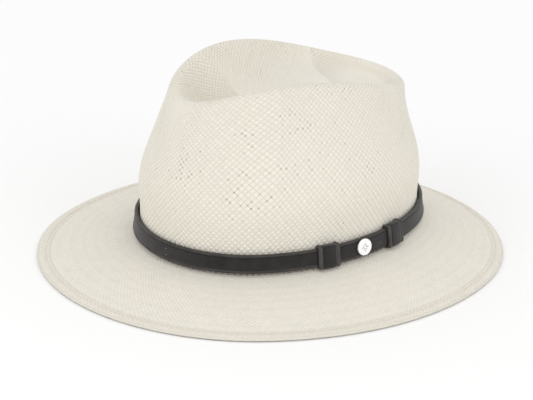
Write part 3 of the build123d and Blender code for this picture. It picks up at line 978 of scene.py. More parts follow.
        first_bead = self.grid(maker, bead, len(top), flip=True, reach=bead_reach)
        self.join(maker, first_top + (len(top) - 1) * wide, first_bead, wide, len(top) - 1)
        hem = self.hem_rows(brim, brim_out)
        lower = np.concatenate([hem, under[::-1][self.rows_inside_hem(under) :]])
        first_lower = self.grid(maker, lower, 0, flip=True, step=2)
        self.join(maker, first_bead + (len(bead) - 1) * wide, first_lower, wide, 0)

        first_inner = self.grid(maker, inner[1:], 0, flip=True, step=2)
        self.fan(maker, first_inner, first_lower + (len(lower) - 1) * wide, narrow, flip=True)
        self.zip_floor(maker, first_inner + (len(inner) - 2) * narrow, narrow, flip=True)
        body = maker.build("straw_body_woven", Finishes.straw.material())
        install(body, Body.HAT, "straw", "straw_body")
        return body

    @staticmethod
    def parity(shape: tuple[int, ...]) -> np.ndarray:
        """Up on the middle of each square of the weave and down at its corners.

        Args:
            shape: rows, columns and xyz of the grid.

        Returns:
            1 or -1 for each point of the grid.
        """
        rows, columns = np.indices(shape[:2])
        return np.where((rows + columns) % 2 == 1, 1.0, -1.0)[..., None]

    @staticmethod
    def grid(
        maker: MeshMaker,
        rows: np.ndarray,
        row_start: int,
        flip: bool,
        step: int = 1,
        reach: np.ndarray | None = None,
        depth: np.ndarray | float = 0.5,
    ) -> int:
        """Adds a grid with its weave coordinates.

        Args:
            maker: the mesh under way.
            rows: points in metres, as rows, columns, xyz.
            row_start: number of the first row in half squares.
            flip: turns the faces over.
            step: half squares from one row to the next.
            reach: each row's distance from the break.
            depth: how deep the weave shows at each point.

        Returns:
            The number of the first point.
        """
        count, columns = rows.shape[:2]
        first = maker.add_points(rows, np.repeat(np.zeros(count) if reach is None else reach, columns), depth)
        for r in range(count - 1):
            a, b = first + r * columns, first + (r + 1) * columns
            low, high = row_start + r * step, row_start + (r + 1) * step
            for c in range(columns):
                d = (c + 1) % columns
                quad = ((a + c, c, low), (a + d, c + 1, low), (b + d, c + 1, high), (b + c, c, high))
                # The cut of each quad runs along the grooves, from corner to corner of the squares
                if (r + c) % 2:
                    quad = quad[1:] + quad[:1]
                StrawBody.face(maker, (quad[0], quad[1], quad[2]), flip)
                StrawBody.face(maker, (quad[0], quad[2], quad[3]), flip)
        return first

    @staticmethod
    def face(maker: MeshMaker, corners: tuple[tuple[int, int, int], ...], flip: bool) -> None:
        """Adds a face with weave coordinates.

        Args:
            maker: the mesh under way.
            corners: point number, column and row in half squares, for each corner.
            flip: turns the face over.
        """
        ordered = corners[::-1] if flip else corners
        maker.faces.append(tuple(number for number, _, _ in ordered))
        maker.weave.extend(((c + r) / 2, (c - r) / 2) for _, c, r in ordered)

    @staticmethod
    def fan(maker: MeshMaker, upper: int, lower: int, columns: int, flip: bool) -> None:
        """Joins a row to one with twice as many points.

        Args:
            maker: the mesh under way.
            upper: first point of the coarser row.
            lower: first point of the finer row.
            columns: points in the coarser row.
            flip: turns the faces over.
        """
        for c in range(columns):
            d = (c + 1) % columns
            a, b, e = lower + 2 * c, lower + 2 * c + 1, lower + (2 * c + 2) % (2 * columns)
            StrawBody.face(maker, ((upper + c, c, 0), (a, c, -1), (b, c, -1)), flip)
            StrawBody.face(maker, ((upper + c, c, 0), (b, c + 1, -1), (upper + d, c + 1, 0)), flip)
            StrawBody.face(maker, ((upper + d, c + 1, 0), (b, c, -1), (e, c + 1, -1)), flip)

    @staticmethod
    def join(maker: MeshMaker, above: int, below: int, columns: int, row: int) -> None:
        """Joins two rows of the same length.

        Args:
            maker: the mesh under way.
            above: first point of one row.
            below: first point of the next row outward.
            columns: points in each.
            row: number of the first row in half squares.
        """
        for c in range(columns):
            d = (c + 1) % columns
            StrawBody.face(
                maker,
                ((above + c, c, row), (below + c, c, row + 1), (below + d, c + 1, row + 1), (above + d, c + 1, row)),
                False,
            )

    @staticmethod
    def zip_floor(maker: MeshMaker, first: int, columns: int, flip: bool) -> None:
        """Closes the dent's floor along its middle line, each point to its mirror image.

        Args:
            maker: the mesh under way.
            first: first point of the last row.
            columns: points in the row.
            flip: turns the faces over.
        """
        for c in range(columns // 2):
            e, f = (columns - c - 1) % columns, (columns - c) % columns
            corners = [first + c, first + c + 1, first + e, first + f]
            if c == 0:
                corners.pop()
            if c == columns // 2 - 1:
                corners.pop(2)
            numbered = tuple((number, c + (k in (1, 2)), k // 2) for k, number in enumerate(corners))
            StrawBody.face(maker, numbered, flip)

    def bead_rows(self, heading: np.ndarray) -> tuple[np.ndarray, np.ndarray]:
        """Rows round the rolled edge, from near its top to its bottom inner side.

        Args:
            heading: outward normal's angle of each column.

        Returns:
            Points in metres, and each row's distance from the break.
        """
        angles = np.radians(np.linspace(*self.bead_turn, self.bead_steps))
        rows = []
        for r, angle in enumerate(angles):
            scallop = np.where((np.arange(len(heading)) + r) % 2 == 0, 1.0, -1.0) * self.scallop
            radius = self.bead_radius + scallop
            flat = HEAD.points(heading, self.brim_width - self.bead_height + radius * math.cos(angle))
            rows.append(np.concatenate([flat, (self.bead_height + radius * math.sin(angle))[:, None]], -1))
        return np.stack(rows) * MM, np.full(len(rows), self.brim_width)

    def rows_inside_hem(self, under: np.ndarray) -> int:
        """How many of the underside's rows lie over the hem's fold.

        Args:
            under: underside rows from the break outward.

        Returns:
            The number of rows, counted from the edge.
        """
        return math.ceil(len(under) * self.hem_width / self.brim_width) + 1

    def hem_rows(self, brim: np.ndarray, brim_out: np.ndarray) -> np.ndarray:
        """Underside of the folded hem, from the rolled edge to the cut end of the fold.

        Args:
            brim: the brim's rows from the break outward.
            brim_out: their upward normals.

        Returns:
            Rows in metres.
        """
        layer = brim_out[len(brim) // 2] * self.straw * MM
        rows = [brim[0] * share + brim[-1] * (1 - share) - layer * 2 for share in self.hem_fold]
        return np.stack([*rows, rows[-1] + layer])


@dataclass
class HemStitches:
    """Lockstitches round the hem, each its own short length of thread, above and below the brim."""

    inset: float = 6.0  # from the brim's edge
    length: float = 2.7
    gap: float = 0.9
    radius: float = 0.24
    sink: float = 0.24  # how deep a stitch's ends lie
    arch: float = 0.36  # how far its middle rises from there
    end: float = 0.45  # thickness of its ends, as a share of its middle
    sides: int = 6
    slices: int = 5
    stations: int = 7200

    def build(self, body: StrawBody) -> bpy.types.Object:
        """Makes all the stitches as one piece.

        Args:
            body: the straw that they are sewn in.

        Returns:
            The stitching.
        """
        maker = MeshMaker()
        fine = HEAD.headings(self.stations)
        lines = body.brim_lines(fine)
        share = 1 - (self.inset - body.bead_height) / body.brim_width
        ring = lines[0] * (1 - share) + lines[-1] * share
        steps = np.linalg.norm(np.roll(ring, -1, axis=0) - ring, axis=-1)
        travel = np.concatenate([[0], np.cumsum(steps)])
        count = int(travel[-1] / MM // (self.length + self.gap))
        closed = np.concatenate([ring, ring[:1]])
        slope = lines[-1] - lines[0]
        tangent = np.roll(ring, -1, axis=0) - ring
        normal = np.cross(slope, tangent)
        normal /= np.linalg.norm(normal, axis=-1, keepdims=True)
        normal *= np.sign(normal[:, 2:3])
        closed_normal = np.concatenate([normal, normal[:1]])
        around = np.linspace(0, 2 * math.pi, self.sides, endpoint=False)
        arch = np.sin(np.linspace(0, math.pi, self.slices))
        for face, lift in ((1, 0.0), (-1, 2 * body.straw)):
            for k in range(count):
                start = travel[-1] * k / count
                at = start + np.linspace(0, self.length * MM, self.slices)
                centre = np.stack([np.interp(at, travel, closed[:, i]) for i in range(3)], -1)
                rise = np.stack([np.interp(at, travel, closed_normal[:, i]) for i in range(3)], -1) * face
                along = np.gradient(centre, axis=0)
                along /= np.linalg.norm(along, axis=-1, keepdims=True)
                across = np.cross(along, rise)
                centre = centre + rise * ((lift - self.sink + self.arch * arch) * MM)[:, None]
                width = (self.radius * (self.end + (1 - self.end) * arch) * MM)[:, None, None]
                sideways, upright = np.cos(around)[None, :, None], np.sin(around)[None, :, None]
                section = across[:, None] * sideways + rise[:, None] * upright
                first = maker.add_grid(centre[:, None] + section * width)
                maker.faces.append(tuple(first + i for i in range(self.sides))[::-1])
                last = first + (self.slices - 1) * self.sides
                maker.faces.append(tuple(last + i for i in range(self.sides)))
        piece = maker.build("hem_lockstitches", Finishes.straw_thread.material())
        install(piece, Body.HAT, "straw_thread", "hem_stitching")
        return piece


# ---------------------------------------------------------------- strap
@dataclass
class Strap:
    """Leather strap with rolled edges and an inlaid suede strip."""

    gap: float = 1.4
    thickness: float = 2.6
    height: float = 13.2
    foot: float = 2.0
    lip: float = 2.35  # width of a rolled edge
    recess: float = 0.75
    lip_turn: tuple[float, float] = (-0.5, 0.62)  # start and end of a lip's round, in half turns
    suede_tuck: float = 0.12  # how far the suede goes in under each lip
    suede_edge: float = 0.38  # its height at the lips
    suede_dome: float = 0.12  # how much more in the middle
    suede_back: float = 0.03
    stations: int = 420

    @property
    def middle_height(self) -> float:
        """Height of the strap's middle above the break."""
        return self.foot + self.height / 2

    @property
    def middle(self) -> float:
        """Distance of the strap's middle from the straw at the break."""
        return self.gap + self.thickness / 2

    def leaning(self, across: np.ndarray, along: np.ndarray) -> tuple[np.ndarray, np.ndarray]:
        """Turns section coordinates into distances from the straw, leaning with the crown's wall.

        Args:
            across: through the strap's thickness, outward from its middle.
            along: up its height, from its middle.

        Returns:
            Outward and upward distances.
        """
        lean = math.atan(HEAD.taper)
        c, s = math.cos(lean), math.sin(lean)
        outward = self.middle - HEAD.taper * self.middle_height + across * c - along * s
        return outward, self.middle_height + across * s + along * c

    def placed(self, sections: list[np.ndarray], heading: np.ndarray) -> np.ndarray:
        """Sets a section at each of some places along the strap.

        Args:
            sections: points across and along, for each place.
            heading: the places.

        Returns:
            Points in metres, as places, section points, xyz.
        """
        leaned = [self.leaning(points[:, 0], points[:, 1]) for points in sections]
        return HEAD.sweep(heading, np.stack([p[0] for p in leaned]), np.stack([p[1] for p in leaned]))

    def section(self) -> np.ndarray:
        """Outline of the leather: a flat back, two rolled lips and the recess between them.

        Returns:
            Points across and along, in order.
        """
        half, face = self.height / 2, self.thickness / 2
        radius = self.lip / 2
        middle = half - radius
        turns = np.linspace(*self.lip_turn, 13) * math.pi
        lip_top = [(face - radius + radius * math.cos(a), middle + radius * math.sin(a)) for a in turns]
        floor = face - self.recess
        upper = [(floor, middle - radius + 0.02), *lip_top]
        back = [(-face + 0.35, half - 0.25), (-face, half - 0.7)]
        edge = upper + back
        mirrored = [(a, -b) for a, b in edge[::-1]]
        inside = [(floor, b) for b in np.linspace(-middle + radius, middle - radius, 5)[1:-1]]
        return np.array(mirrored + inside + edge)

    def build(self) -> bpy.types.Object:
        """Makes the leather and its suede.

        Returns:
            The leather strap.
        """
        heading = HEAD.headings(self.stations)
        outline = self.section()
        outward, upward = self.leaning(outline[:, 0], outline[:, 1])
        maker = MeshMaker()
        maker.add_grid(HEAD.sweep(heading, outward, upward), closed_columns=True, flip=True)
        leather = maker.build("strap_rolled_leather", Finishes.strap.material())
        install(leather, Body.HAT, "strap_leather", "strap")
        self.build_suede(heading)
        return leather

    def build_suede(self, heading: np.ndarray) -> None:
        """Makes the suede strip, slightly domed and rounded down at its edges.

        Args:
            heading: stations round the oval.
        """
        half = self.height / 2 - self.lip + self.suede_tuck
        floor = self.thickness / 2 - self.recess
        along = np.concatenate([[-half], np.linspace(-half + 0.1, half - 0.1, 13), [half]])
        dome = self.suede_edge + self.suede_dome * np.cos(along / half * math.pi / 2)
        across = floor + np.where(np.abs(along) > half - 0.05, 0.12, dome)
        back = np.full(3, floor + self.suede_back)
        outline_across = np.concatenate([across, back])
        outline_along = np.concatenate([along, np.linspace(half, -half, 3)])
        outward, upward = self.leaning(outline_across, outline_along)
        maker = MeshMaker()
        maker.add_grid(HEAD.sweep(heading, outward, upward), closed_columns=True, flip=True)
        suede = maker.build("strap_suede_inlay", Finishes.suede.material())
        install(suede, Body.HAT, "suede", "strap_suede")


@dataclass
class Keeper:
    """One loop on the strap: leather with two rounded rims, and a suede band set between them."""

    body: Body
    node: str
    angle: float  # degrees round the side arc, at its middle
    strap: Strap
    width: float = 16.6
    rim: float = 3.3
    clearance: float = 0.3
    front: float = 2.0
    back: float = 0.7
    wall: float = 1.3
    corner: float = 1.5
    window_corner: float = 0.3
    back_corner: float = 0.5
    leather_drop: float = 0.9  # the leather under the suede, below the tops of the rims
    rim_height: float = 0.75  # how far a rim's top stands above its edges
    rim_full: float = 2.6  # how full its round is
    suede_overlap: float = 0.15
    suede_edge: float = 0.28  # the suede's edges, below the tops of the rims
    suede_dome: float = 0.38  # how far its middle rises from there
    suede_full: float = 0.6  # how full the dome is: less is fuller
    suede_bed: float = 0.82
    suede_start: float = 0.6  # how far in front of the strap's back the suede ends
    slices: int = 27
    suede_slices: int = 15

    def loop(self, inset: float, inside: bool = False) -> np.ndarray:
        """Rounded rectangle round the strap's section.

        Args:
            inset: how far it is drawn in from the keeper's outside.
            inside: the loop of the window instead of the outside.

        Returns:
            Points across and along, counter-clockwise from the middle of the back.
        """
        half_thick = self.strap.thickness / 2 + self.clearance
        half_tall = self.strap.height / 2 + self.clearance
        low, high, tall = -half_thick, half_thick, half_tall
        if not inside:
            low -= self.back
            high += self.front - inset
            tall += self.wall - inset
        radius = self.window_corner if inside else self.corner
        points = []
        for x, y, start in ((low, -tall, 180), (high, -tall, 270), (high, tall, 0), (low, tall, 90)):
            r = radius if x > 0 else min(radius, self.back_corner)
            cx, cy = x - math.copysign(r, x), y - math.copysign(r, y)
            for a in np.radians(np.linspace(start, start + 90, 6)):
                points.append((cx + r * math.cos(a), cy + r * math.sin(a)))
        return np.array(points)

    def stations(self, half_width: float, count: int) -> tuple[np.ndarray, np.ndarray]:
        """Places along the strap across the keeper.

        Args:
            half_width: half the piece's width along the strap.
            count: how many.

        Returns:
            Distances from the keeper's middle, and headings.
        """
        steps = np.linspace(-half_width, half_width, count)
        radius = HEAD.side_radius + self.strap.gap + self.strap.thickness + self.front
        return steps, math.radians(self.angle) + steps / radius

    def rim_drop(self, step: float) -> float:
        """How far the leather lies below the tops of the rims at a distance from the middle.

        Args:
            step: distance from the keeper's middle along the strap.

        Returns:
            Millimetres.
        """
        inner = self.width / 2 - self.rim
        if abs(step) < inner:
            return self.leather_drop
        place = (abs(step) - inner) / self.rim * 2 - 1
        return self.rim_height * (1 - math.sqrt(max(0.0, 1 - abs(place) ** self.rim_full)))

    def shell(self, maker: MeshMaker, outer: list[np.ndarray], inner: list[np.ndarray], heading: np.ndarray) -> None:
        """Adds a closed band from its outer and inner loops.

        Args:
            maker: the mesh under way.
            outer: section points at each station, on the outside.
            inner: the same on the inside.
            heading: the stations.
        """
        rows = [self.strap.placed(sections, heading) for sections in (outer, inner)]
        first_outer = maker.add_grid(rows[0], flip=True)
        first_inner = maker.add_grid(rows[1])
        count = rows[0].shape[1]
        last = (len(heading) - 1) * count
        for c in range(count):
            d = (c + 1) % count
            maker.faces.append((first_outer + c, first_outer + d, first_inner + d, first_inner + c))
            maker.faces.append(
                (first_outer + last + d, first_outer + last + c, first_inner + last + c, first_inner + last + d)
            )

    def build(self) -> bpy.types.Object:
        """Makes the leather loop and its suede.

        Returns:
            The leather loop.
        """
        steps, heading = self.stations(self.width / 2, self.slices)
        maker = MeshMaker()
        self.shell(maker, [self.loop(self.rim_drop(s)) for s in steps], [self.loop(0, True)] * len(steps), heading)
        leather = maker.build(f"{self.node}_leather", Finishes.keeper.material())
        install(leather, self.body, "strap_leather", self.node)
        self.build_suede()
        return leather

    def build_suede(self) -> None:
        """Makes the suede band, domed along the strap and open at the back of the loop."""
        half = self.width / 2 - self.rim + self.suede_overlap
        steps, heading = self.stations(half, self.suede_slices)
        domes = [
            self.suede_edge - self.suede_dome * math.cos(step / half * math.pi / 2) ** self.suede_full
            for step in steps
        ]
        front = self.strap.placed([self.open_loop(dome) for dome in domes], heading)
        back = self.strap.placed([self.open_loop(self.suede_bed)] * len(steps), heading)
        ring = np.concatenate([front, back[:, ::-1]], axis=1)
        maker = MeshMaker()
        first = maker.add_grid(ring, flip=True)
        count, points = ring.shape[1], front.shape[1]
        last = first + (len(steps) - 1) * count
        for c in range(points - 1):
            mirror = count - 1 - c
            maker.faces.append((first + c, first + c + 1, first + mirror - 1, first + mirror))
            maker.faces.append((last + c + 1, last + c, last + mirror, last + mirror - 1))
        suede = maker.build(f"{self.node}_suede_band", Finishes.suede.material())
        install(suede, self.body, "suede", f"{self.node}_suede")

    def open_loop(self, inset: float) -> np.ndarray:
        """The loop without its back.

        Args:
            inset: how far it is drawn in.

        Returns:
            Points across and along, from the lower back corner round by the front.
        """
        points = self.loop(inset)
        start = -self.strap.thickness / 2 + self.suede_start
        kept = points[6:18]
        bottom = np.array([[start, kept[0, 1]], [0.0, kept[0, 1]]])
        top = np.array([[0.0, kept[-1, 1]], [start, kept[-1, 1]]])
        return np.concatenate([bottom, kept, top])


@dataclass
class Badge:
    """Round enamel badge on its rivet, with a plain eight-petal ornament in place of any lettering."""

    strap: Strap
    angle: float = 2.9
    radius: float = 5.8
    thickness: float = 1.7
    lift: float = 0.2
    base: float = 0.52
    rounding: float = 0.7
    wall_top: float = 0.95  # where the rim's upright side ends and its round begins
    petals: int = 8
    petal_lengths: tuple[float, float] = (3.8, 2.7)  # by turns
    petal_half_width: float = 0.34
    petal_start: float = 0.75
    petal_heights: tuple[float, float, float] = (1.44, 1.53, 1.6)  # foot, edge and peak
    segments: int = 72

    def placed(self, points: np.ndarray) -> np.ndarray:
        """Sets points on the strap at the badge.

        Args:
            points: along the strap, up it, and out from its face, in millimetres.

        Returns:
            Metres in the frame.
        """
        heading = math.radians(self.angle)
        out = np.array([math.cos(heading), math.sin(heading), 0])
        side = np.array([-math.sin(heading), math.cos(heading), 0])
        lean = math.atan(HEAD.taper)
        face = out * math.cos(lean) + np.array([0, 0, math.sin(lean)])
        rise = np.cross(side, face)
        foot = out * (HEAD.side_radius - HEAD.taper * self.strap.middle_height)
        foot = foot + np.array([-HEAD.side_centre, 0, self.strap.middle_height])
        start = self.strap.gap + self.strap.thickness + self.lift + self.base
        x, y, z = points[..., 0:1], points[..., 1:2], points[..., 2:3]
        return HEAD.to_frame(foot + side * x + rise * y + face * (start + z))

    def build(self) -> None:
        """Makes the enamel face and its ornament."""
        rim = [(self.radius - 0.5, 0.0), (self.radius - 0.12, 0.12), (self.radius, 0.5), (self.radius, self.wall_top)]
        turns = np.linspace(0, math.pi / 2, 7)[1:]
        rim += [
            (self.radius - self.rounding * (1 - math.cos(a)), self.wall_top + self.rounding * math.sin(a))
            for a in turns
        ]
        dish = [(self.radius - 1.1, 1.58), (self.radius * 0.5, 1.5), (0.6, 1.48)]
        profile = np.array([(0.6, 0.0), *rim, *dish])
        around = np.linspace(0, 2 * math.pi, self.segments, endpoint=False)
        rings = np.stack(
            [
                np.stack([r * np.cos(around), r * np.sin(around), np.full(self.segments, z)], -1)
                for r, z in profile
            ]
        )
        maker = MeshMaker()
        first = maker.add_grid(self.placed(rings))
        maker.faces.append(tuple(range(first, first + self.segments))[::-1])
        last = first + (len(profile) - 1) * self.segments
        maker.faces.append(tuple(range(last, last + self.segments)))
        face = maker.build("badge_enamel_face", Finishes.enamel.material())
        install(face, Body.HAT, "enamel", "badge_face")
        self.build_ornament()

    def build_ornament(self) -> None:
        """Makes the petals as thin raised lozenges."""
        maker = MeshMaker()
        for k in range(self.petals):
            turn = 2 * math.pi * k / self.petals
            length, half = self.petal_lengths[k % 2], self.petal_half_width
            outline = np.array([(self.petal_start, 0), (0.45 * length, half), (length, 0), (0.45 * length, -half)])
            c, s = math.cos(turn), math.sin(turn)
            flat = np.stack([outline[:, 0] * c - outline[:, 1] * s, outline[:, 0] * s + outline[:, 1] * c], -1)
            middle = np.array([[0.5 * length * c, 0.5 * length * s]])
            foot, edge, top = self.petal_heights
            low = np.concatenate([flat, np.full((4, 1), foot)], -1)
            high = np.concatenate([flat, np.full((4, 1), edge)], -1)
            peak = np.concatenate([middle, [[top]]], -1)
            first = maker.add_points(self.placed(np.concatenate([low, high, peak])))
            for i in range(4):
                j = (i + 1) % 4
                maker.faces.append((first + i, first + j, first + 4 + j, first + 4 + i))
                maker.faces.append((first + 4 + i, first + 4 + j, first + 8))
            maker.faces.append((first + 3, first + 2, first + 1, first))
        ornament = maker.build("badge_ornament", Finishes.ornament.material(), smooth=False)
        install(ornament, Body.HAT, "enamel")


# ---------------------------------------------------------------- inner band
@dataclass
class Sweatband:
    """Twill band inside the crown, with a rolled foot over its reed, stitches and a bow at the back."""

    gap: float = 0.35
    thickness: float = 0.9
    height: float = 30.0
    taper: float = 0.155
    foot: float = -0.4
    bead: float = 1.1
    roll_inset: float = 0.5  # the rolled foot's middle, inside the band's own
    bulge: float = 0.1
    stations: int = 360
    weave_length: float = 593.0  # once round, for the twill's scale
    seam_length: float = 580.0  # once round at the row of stitches
    stitch: float = 3.2
    stitch_height: float = 4.0
    stitch_radius: float = 0.25
    ribbon_width: float = 4.6
    knot_width: float = 4.0
    ribbon_thickness: float = 0.5
    ribbon_drop: float = 3.2  # middle of the ribbon below the top of the bow
    loop_reach: float = 6.2  # half the length of a loop

    @property
    def middle(self) -> float:
        """Distance of the band's middle from the straw's outside at the break."""
        return -0.8 / math.cos(math.atan(HEAD.taper)) - self.gap - self.thickness / 2

    def build(self) -> None:
        """Makes the band, its stitches and its bow."""
        heading = HEAD.headings(self.stations)
        lean = math.atan(self.taper)
        middle_height = self.foot + self.height / 2
        half, thin = self.height / 2, self.thickness / 2
        side = np.linspace(-half + 1.6, half - 0.3, 14)
        # The band bulges very slightly between its rows of stitches
        bulge = self.bulge * np.cos((side + 2) / half * math.pi)
        outside = [(thin, y) for y in side]
        cap = [(thin - 0.15, half), (-thin + 0.15, half)]
        inside = [(-thin - b, y) for b, y in zip(bulge[::-1], side[::-1])]
        across = np.array([p[0] for p in outside + cap + inside])
        along = np.array([p[1] for p in outside + cap + inside])
        outward = self.middle - self.taper * middle_height + across * math.cos(lean) - along * math.sin(lean)
        upward = middle_height + across * math.sin(lean) + along * math.cos(lean)
        turns = np.radians(np.linspace(115, 425, 15))
        roll_out = self.middle - self.roll_inset - self.bead * np.cos(turns)
        roll_up = self.foot + self.bead + self.bead * np.sin(turns)
        outward = np.concatenate([outward, roll_out])
        upward = np.concatenate([upward, roll_up])
        points = HEAD.sweep(heading, outward, upward)
        maker = MeshMaker()
        first = maker.add_points(points)
        count = points.shape[1]
        lengths = np.linalg.norm(np.diff(np.stack([outward, upward], -1), axis=0), axis=-1)
        travel = np.concatenate([[0], np.cumsum(lengths)])
        step = self.weave_length / self.stations
        for r in range(self.stations):
            q = (r + 1) % self.stations
            for c in range(count):
                d = (c + 1) % count
                quad = (first + r * count + c, first + q * count + c, first + q * count + d, first + r * count + d)
                maker.faces.append(quad[::-1])
                corners = ((r, travel[c]), (r + 1, travel[c]), (r + 1, travel[d]), (r, travel[d]))
                maker.weave.extend((k * step, v) for k, v in corners[::-1])
        band = maker.build("sweatband_twill", Finishes.twill.material())
        install(band, Body.HAT, "sweatband", "sweatband")
        self.build_stitches()
        self.build_bow()

    def build_stitches(self) -> None:
        """Makes the row of stitches near the band's foot, each its own short thread."""
        maker = MeshMaker()
        count = round(self.seam_length / self.stitch)
        inward = self.middle - self.thickness / 2 - self.taper * self.stitch_height
        around = np.linspace(0, 2 * math.pi, 6, endpoint=False)
        full_turn = np.append(HEAD.headings(720), 2.5 * math.pi)
        arch = np.sin(np.linspace(0, math.pi, 5))
        radius = self.stitch_radius * (0.4 + 0.6 * arch)
        for k in range(count):
            heading = np.interp((k + np.linspace(0.12, 0.88, 5)) / count, np.arange(721) / 720, full_turn)
            outward = (inward + 0.15 - 0.3 * arch)[:, None] + radius[:, None] * np.cos(around)
            upward = self.stitch_height + radius[:, None] * np.sin(around)
            first = maker.add_grid(HEAD.sweep(heading, outward, upward), flip=True)
            maker.faces.append(tuple(first + i for i in range(6)))
            maker.faces.append(tuple(first + 24 + i for i in range(6))[::-1])
        piece = maker.build("sweatband_lockstitches", Finishes.band_thread.material())
        install(piece, Body.HAT, "band_thread", "sweatband_stitching")

    def build_bow(self) -> None:
        """Makes the flat bow at the back: two loops, two tails and a knot of folded ribbon."""
        maker = MeshMaker()
        loops = []
        for side in (-1, 1):
            turns = np.linspace(0, 2 * math.pi, 33)
            x = side * self.loop_reach * (1 - np.cos(turns))
            y = 0.9 * np.sin(turns) + 0.2
            loops.append((x, y, np.full(33, 0.0)))
            t = np.linspace(0, 1, 9)
            loops.append((side * (0.6 + 5.5 * t), -0.9 + 0 * t, -7.5 * t**1.1))
        for x, y, drop in loops:
            self.ribbon(maker, x, y, drop, self.ribbon_width)
        turns = np.linspace(0, 2 * math.pi, 17)
        self.ribbon(maker, 1.5 * np.cos(turns), 1.5 * np.sin(turns), 0 * turns, self.knot_width)
        piece = maker.build("sweatband_bow_ribbon", Finishes.ribbon.material())
        install(piece, Body.HAT, "bow_ribbon", "sweatband_bow")

    def ribbon(self, maker: MeshMaker, x: np.ndarray, y: np.ndarray, drop: np.ndarray, width: float) -> None:
        """Adds a strip of ribbon that stands on edge along a path.

        Args:
            maker: the mesh under way.
            x: places across the hat.
            y: places towards the middle of the hat, from the band.
            drop: how far the strip sinks.
            width: the ribbon's width, upward.
        """
        low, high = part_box("sweatband_bow")
        centre_y = (low.y + high.y) / 2 / MM
        tangent = np.stack([np.gradient(x), np.gradient(y)], -1)
        tangent /= np.linalg.norm(tangent, axis=-1, keepdims=True) + 1e-9
        side = np.stack([-tangent[:, 1], tangent[:, 0]], -1) * self.ribbon_thickness / 2
        rows = []
        for across, up in ((1, -0.5), (1, 0), (1, 0.5), (-1, 0.5), (-1, 0), (-1, -0.5)):
            px = x + side[:, 0] * across
            py = centre_y - y + side[:, 1] * across
            pz = high.z / MM - self.ribbon_drop + drop + up * width
            rows.append(np.stack([px, py, pz], -1))
        grid = np.stack(rows, 1) * MM
        first = maker.add_points(grid)
        count = 6
        for r in range(len(x) - 1):
            for c in range(count):
                d = (c + 1) % count
                a, b = first + r * count, first + (r + 1) * count
                maker.faces.append((a + c, a + d, b + d, b + c))
                maker.weave.extend(((r * 1.2, c), (r * 1.2, c + 1), (r * 1.2 + 1.2, c + 1), (r * 1.2 + 1.2, c)))
        last = first + (len(x) - 1) * count
        for ring in (tuple(range(first, first + count))[::-1], tuple(range(last, last + count))):
            maker.faces.append(ring)
            maker.weave.extend((0.0, float(k)) for k in range(count))


# ---------------------------------------------------------------- what stays from the CAD
class InnerWorks:
    """CAD pieces whose shape is right as it is, and which only need their finish."""

    finishes: dict[str, Finish] = {
        "brim_wire": Finishes.wire,
        "sweatband_reed": Finishes.reed,
        "strap_patch": Finishes.patch,
        "strap_tacks": Finishes.tack_thread,
        "badge_rivet": Finishes.badge_metal,
        "rivet_washer": Finishes.badge_metal,
    }

    def dress(self) -> None:
        """Gives each node its material."""
        for name, finish in self.finishes.items():
            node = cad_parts[name]
            node.data.materials.clear()
            node.data.materials.append(finish.material())
            LOG.info("%s: finished in %s", name, finish.name)


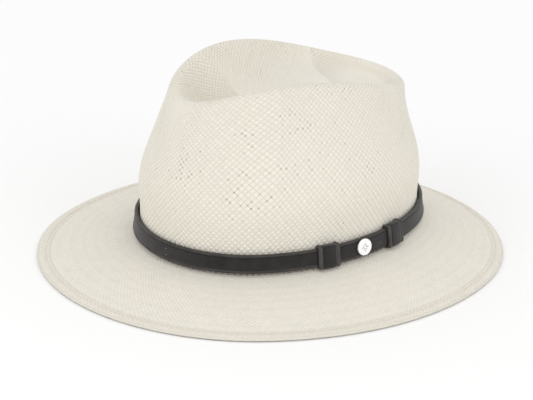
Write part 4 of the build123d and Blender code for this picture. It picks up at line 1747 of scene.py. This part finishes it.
# ---------------------------------------------------------------- studio
@dataclass
class Studio:
    """Pale paper floor, soft lights and the camera."""

    azimuth: float = math.radians(54.358)
    elevation: float = math.radians(23.279)
    distance: float = 1643.6
    shift_right: float = -6.62
    shift_up: float = 13.15
    middle: tuple[float, float, float] = (0.0, -3.12, 1.1)  # the point it turns about, on the break's plane
    lens: float = 158.14
    sensor: float = 36.0
    floor_half: float = 6.0  # metres
    floor_gap: float = 0.0004
    light_size: float = 1.8
    key: tuple[tuple[float, float, float], float] = ((0.5, -2.3, 1.2), 9)  # place and watts
    fill: tuple[tuple[float, float, float], float] = ((2.5, 0.3, 1.0), 8)
    lit_height: float = 0.06  # height on the hat that the lights face
    surroundings: float = 0.95  # brightness all round

    def build_camera(self) -> None:
        """Sets the camera up in front of the wearer's left, a little above the hat."""
        ca, sa = math.cos(self.azimuth), math.sin(self.azimuth)
        ce, se = math.cos(self.elevation), math.sin(self.elevation)
        back = np.array([sa * ce, -ca * ce, se])
        right = np.array([ca, sa, 0])
        up = np.cross(back, right)
        place = right * self.shift_right + up * self.shift_up + back * self.distance + np.array(self.middle)
        origin = HEAD.to_frame(np.zeros(3))
        axes = [HEAD.to_frame(v) - origin for v in (right, up, back)]
        matrix = Matrix.Identity(4)
        for column, axis in enumerate(axes):
            direction = Vector(axis).normalized()
            for row in range(3):
                matrix[row][column] = direction[row]
        matrix.translation = Vector(HEAD.to_frame(place))
        data = bpy.data.cameras.new("camera")
        data.lens = self.lens
        data.sensor_width = self.sensor
        data.clip_end = 20
        camera = bpy.data.objects.new("camera", data)
        camera.matrix_world = matrix
        bpy.context.scene.collection.objects.link(camera)
        bpy.context.scene.camera = camera

    def build_floor(self) -> None:
        """Lays a wide sheet of paper just under the brim's edge."""
        half, drop = self.floor_half, CAD_BOX[0].z - self.floor_gap
        maker = MeshMaker()
        ticks = np.linspace(-half, half, 13)
        maker.add_grid(
            np.stack([np.stack([ticks, np.full(13, y), np.full(13, drop)], -1) for y in ticks]), closed_rows=False
        )
        maker.build("paper_floor", Finishes.paper.material())

    def add_light(self, name: str, place: tuple[float, float, float], power: float) -> None:
        """Adds a square soft light that faces the crown.

        Args:
            name: the light's name.
            place: where it hangs, in metres.
            power: watts.
        """
        data = bpy.data.lights.new(name, "AREA")
        data.size = self.light_size
        data.energy = power
        light = bpy.data.objects.new(name, data)
        light.location = place
        light.rotation_euler = (Vector((0, 0, self.lit_height)) - Vector(place)).to_track_quat("-Z", "Y").to_euler()
        bpy.context.scene.collection.objects.link(light)

    def build(self) -> None:
        """Makes the floor, the lights, the surroundings and the camera."""
        self.build_floor()
        self.build_camera()
        self.add_light("key_front", *self.key)
        self.add_light("fill_side", *self.fill)
        world = bpy.data.worlds.new("studio")
        world.use_nodes = True
        background = world.node_tree.nodes["Background"]
        background.inputs[0].default_value = (1, 1, 1, 1)
        background.inputs[1].default_value = self.surroundings
        bpy.context.scene.world = world
        bpy.context.scene.view_settings.view_transform = "Standard"


def main() -> None:
    """Builds the hat, then the studio."""
    logging.basicConfig(level=logging.INFO, format="%(name)s %(message)s")
    body = StrawBody()
    body.build()
    HemStitches().build(body)
    strap = Strap()
    strap.build()
    Keeper(Body.FRONT_KEEPER, "keeper_front", -8.9, strap).build()
    Keeper(Body.REAR_KEEPER, "keeper_rear", 16.1, strap).build()
    Badge(strap).build()
    Sweatband().build()
    InnerWorks().dress()
    Studio().build()


if __name__ == "__main__":
    main()
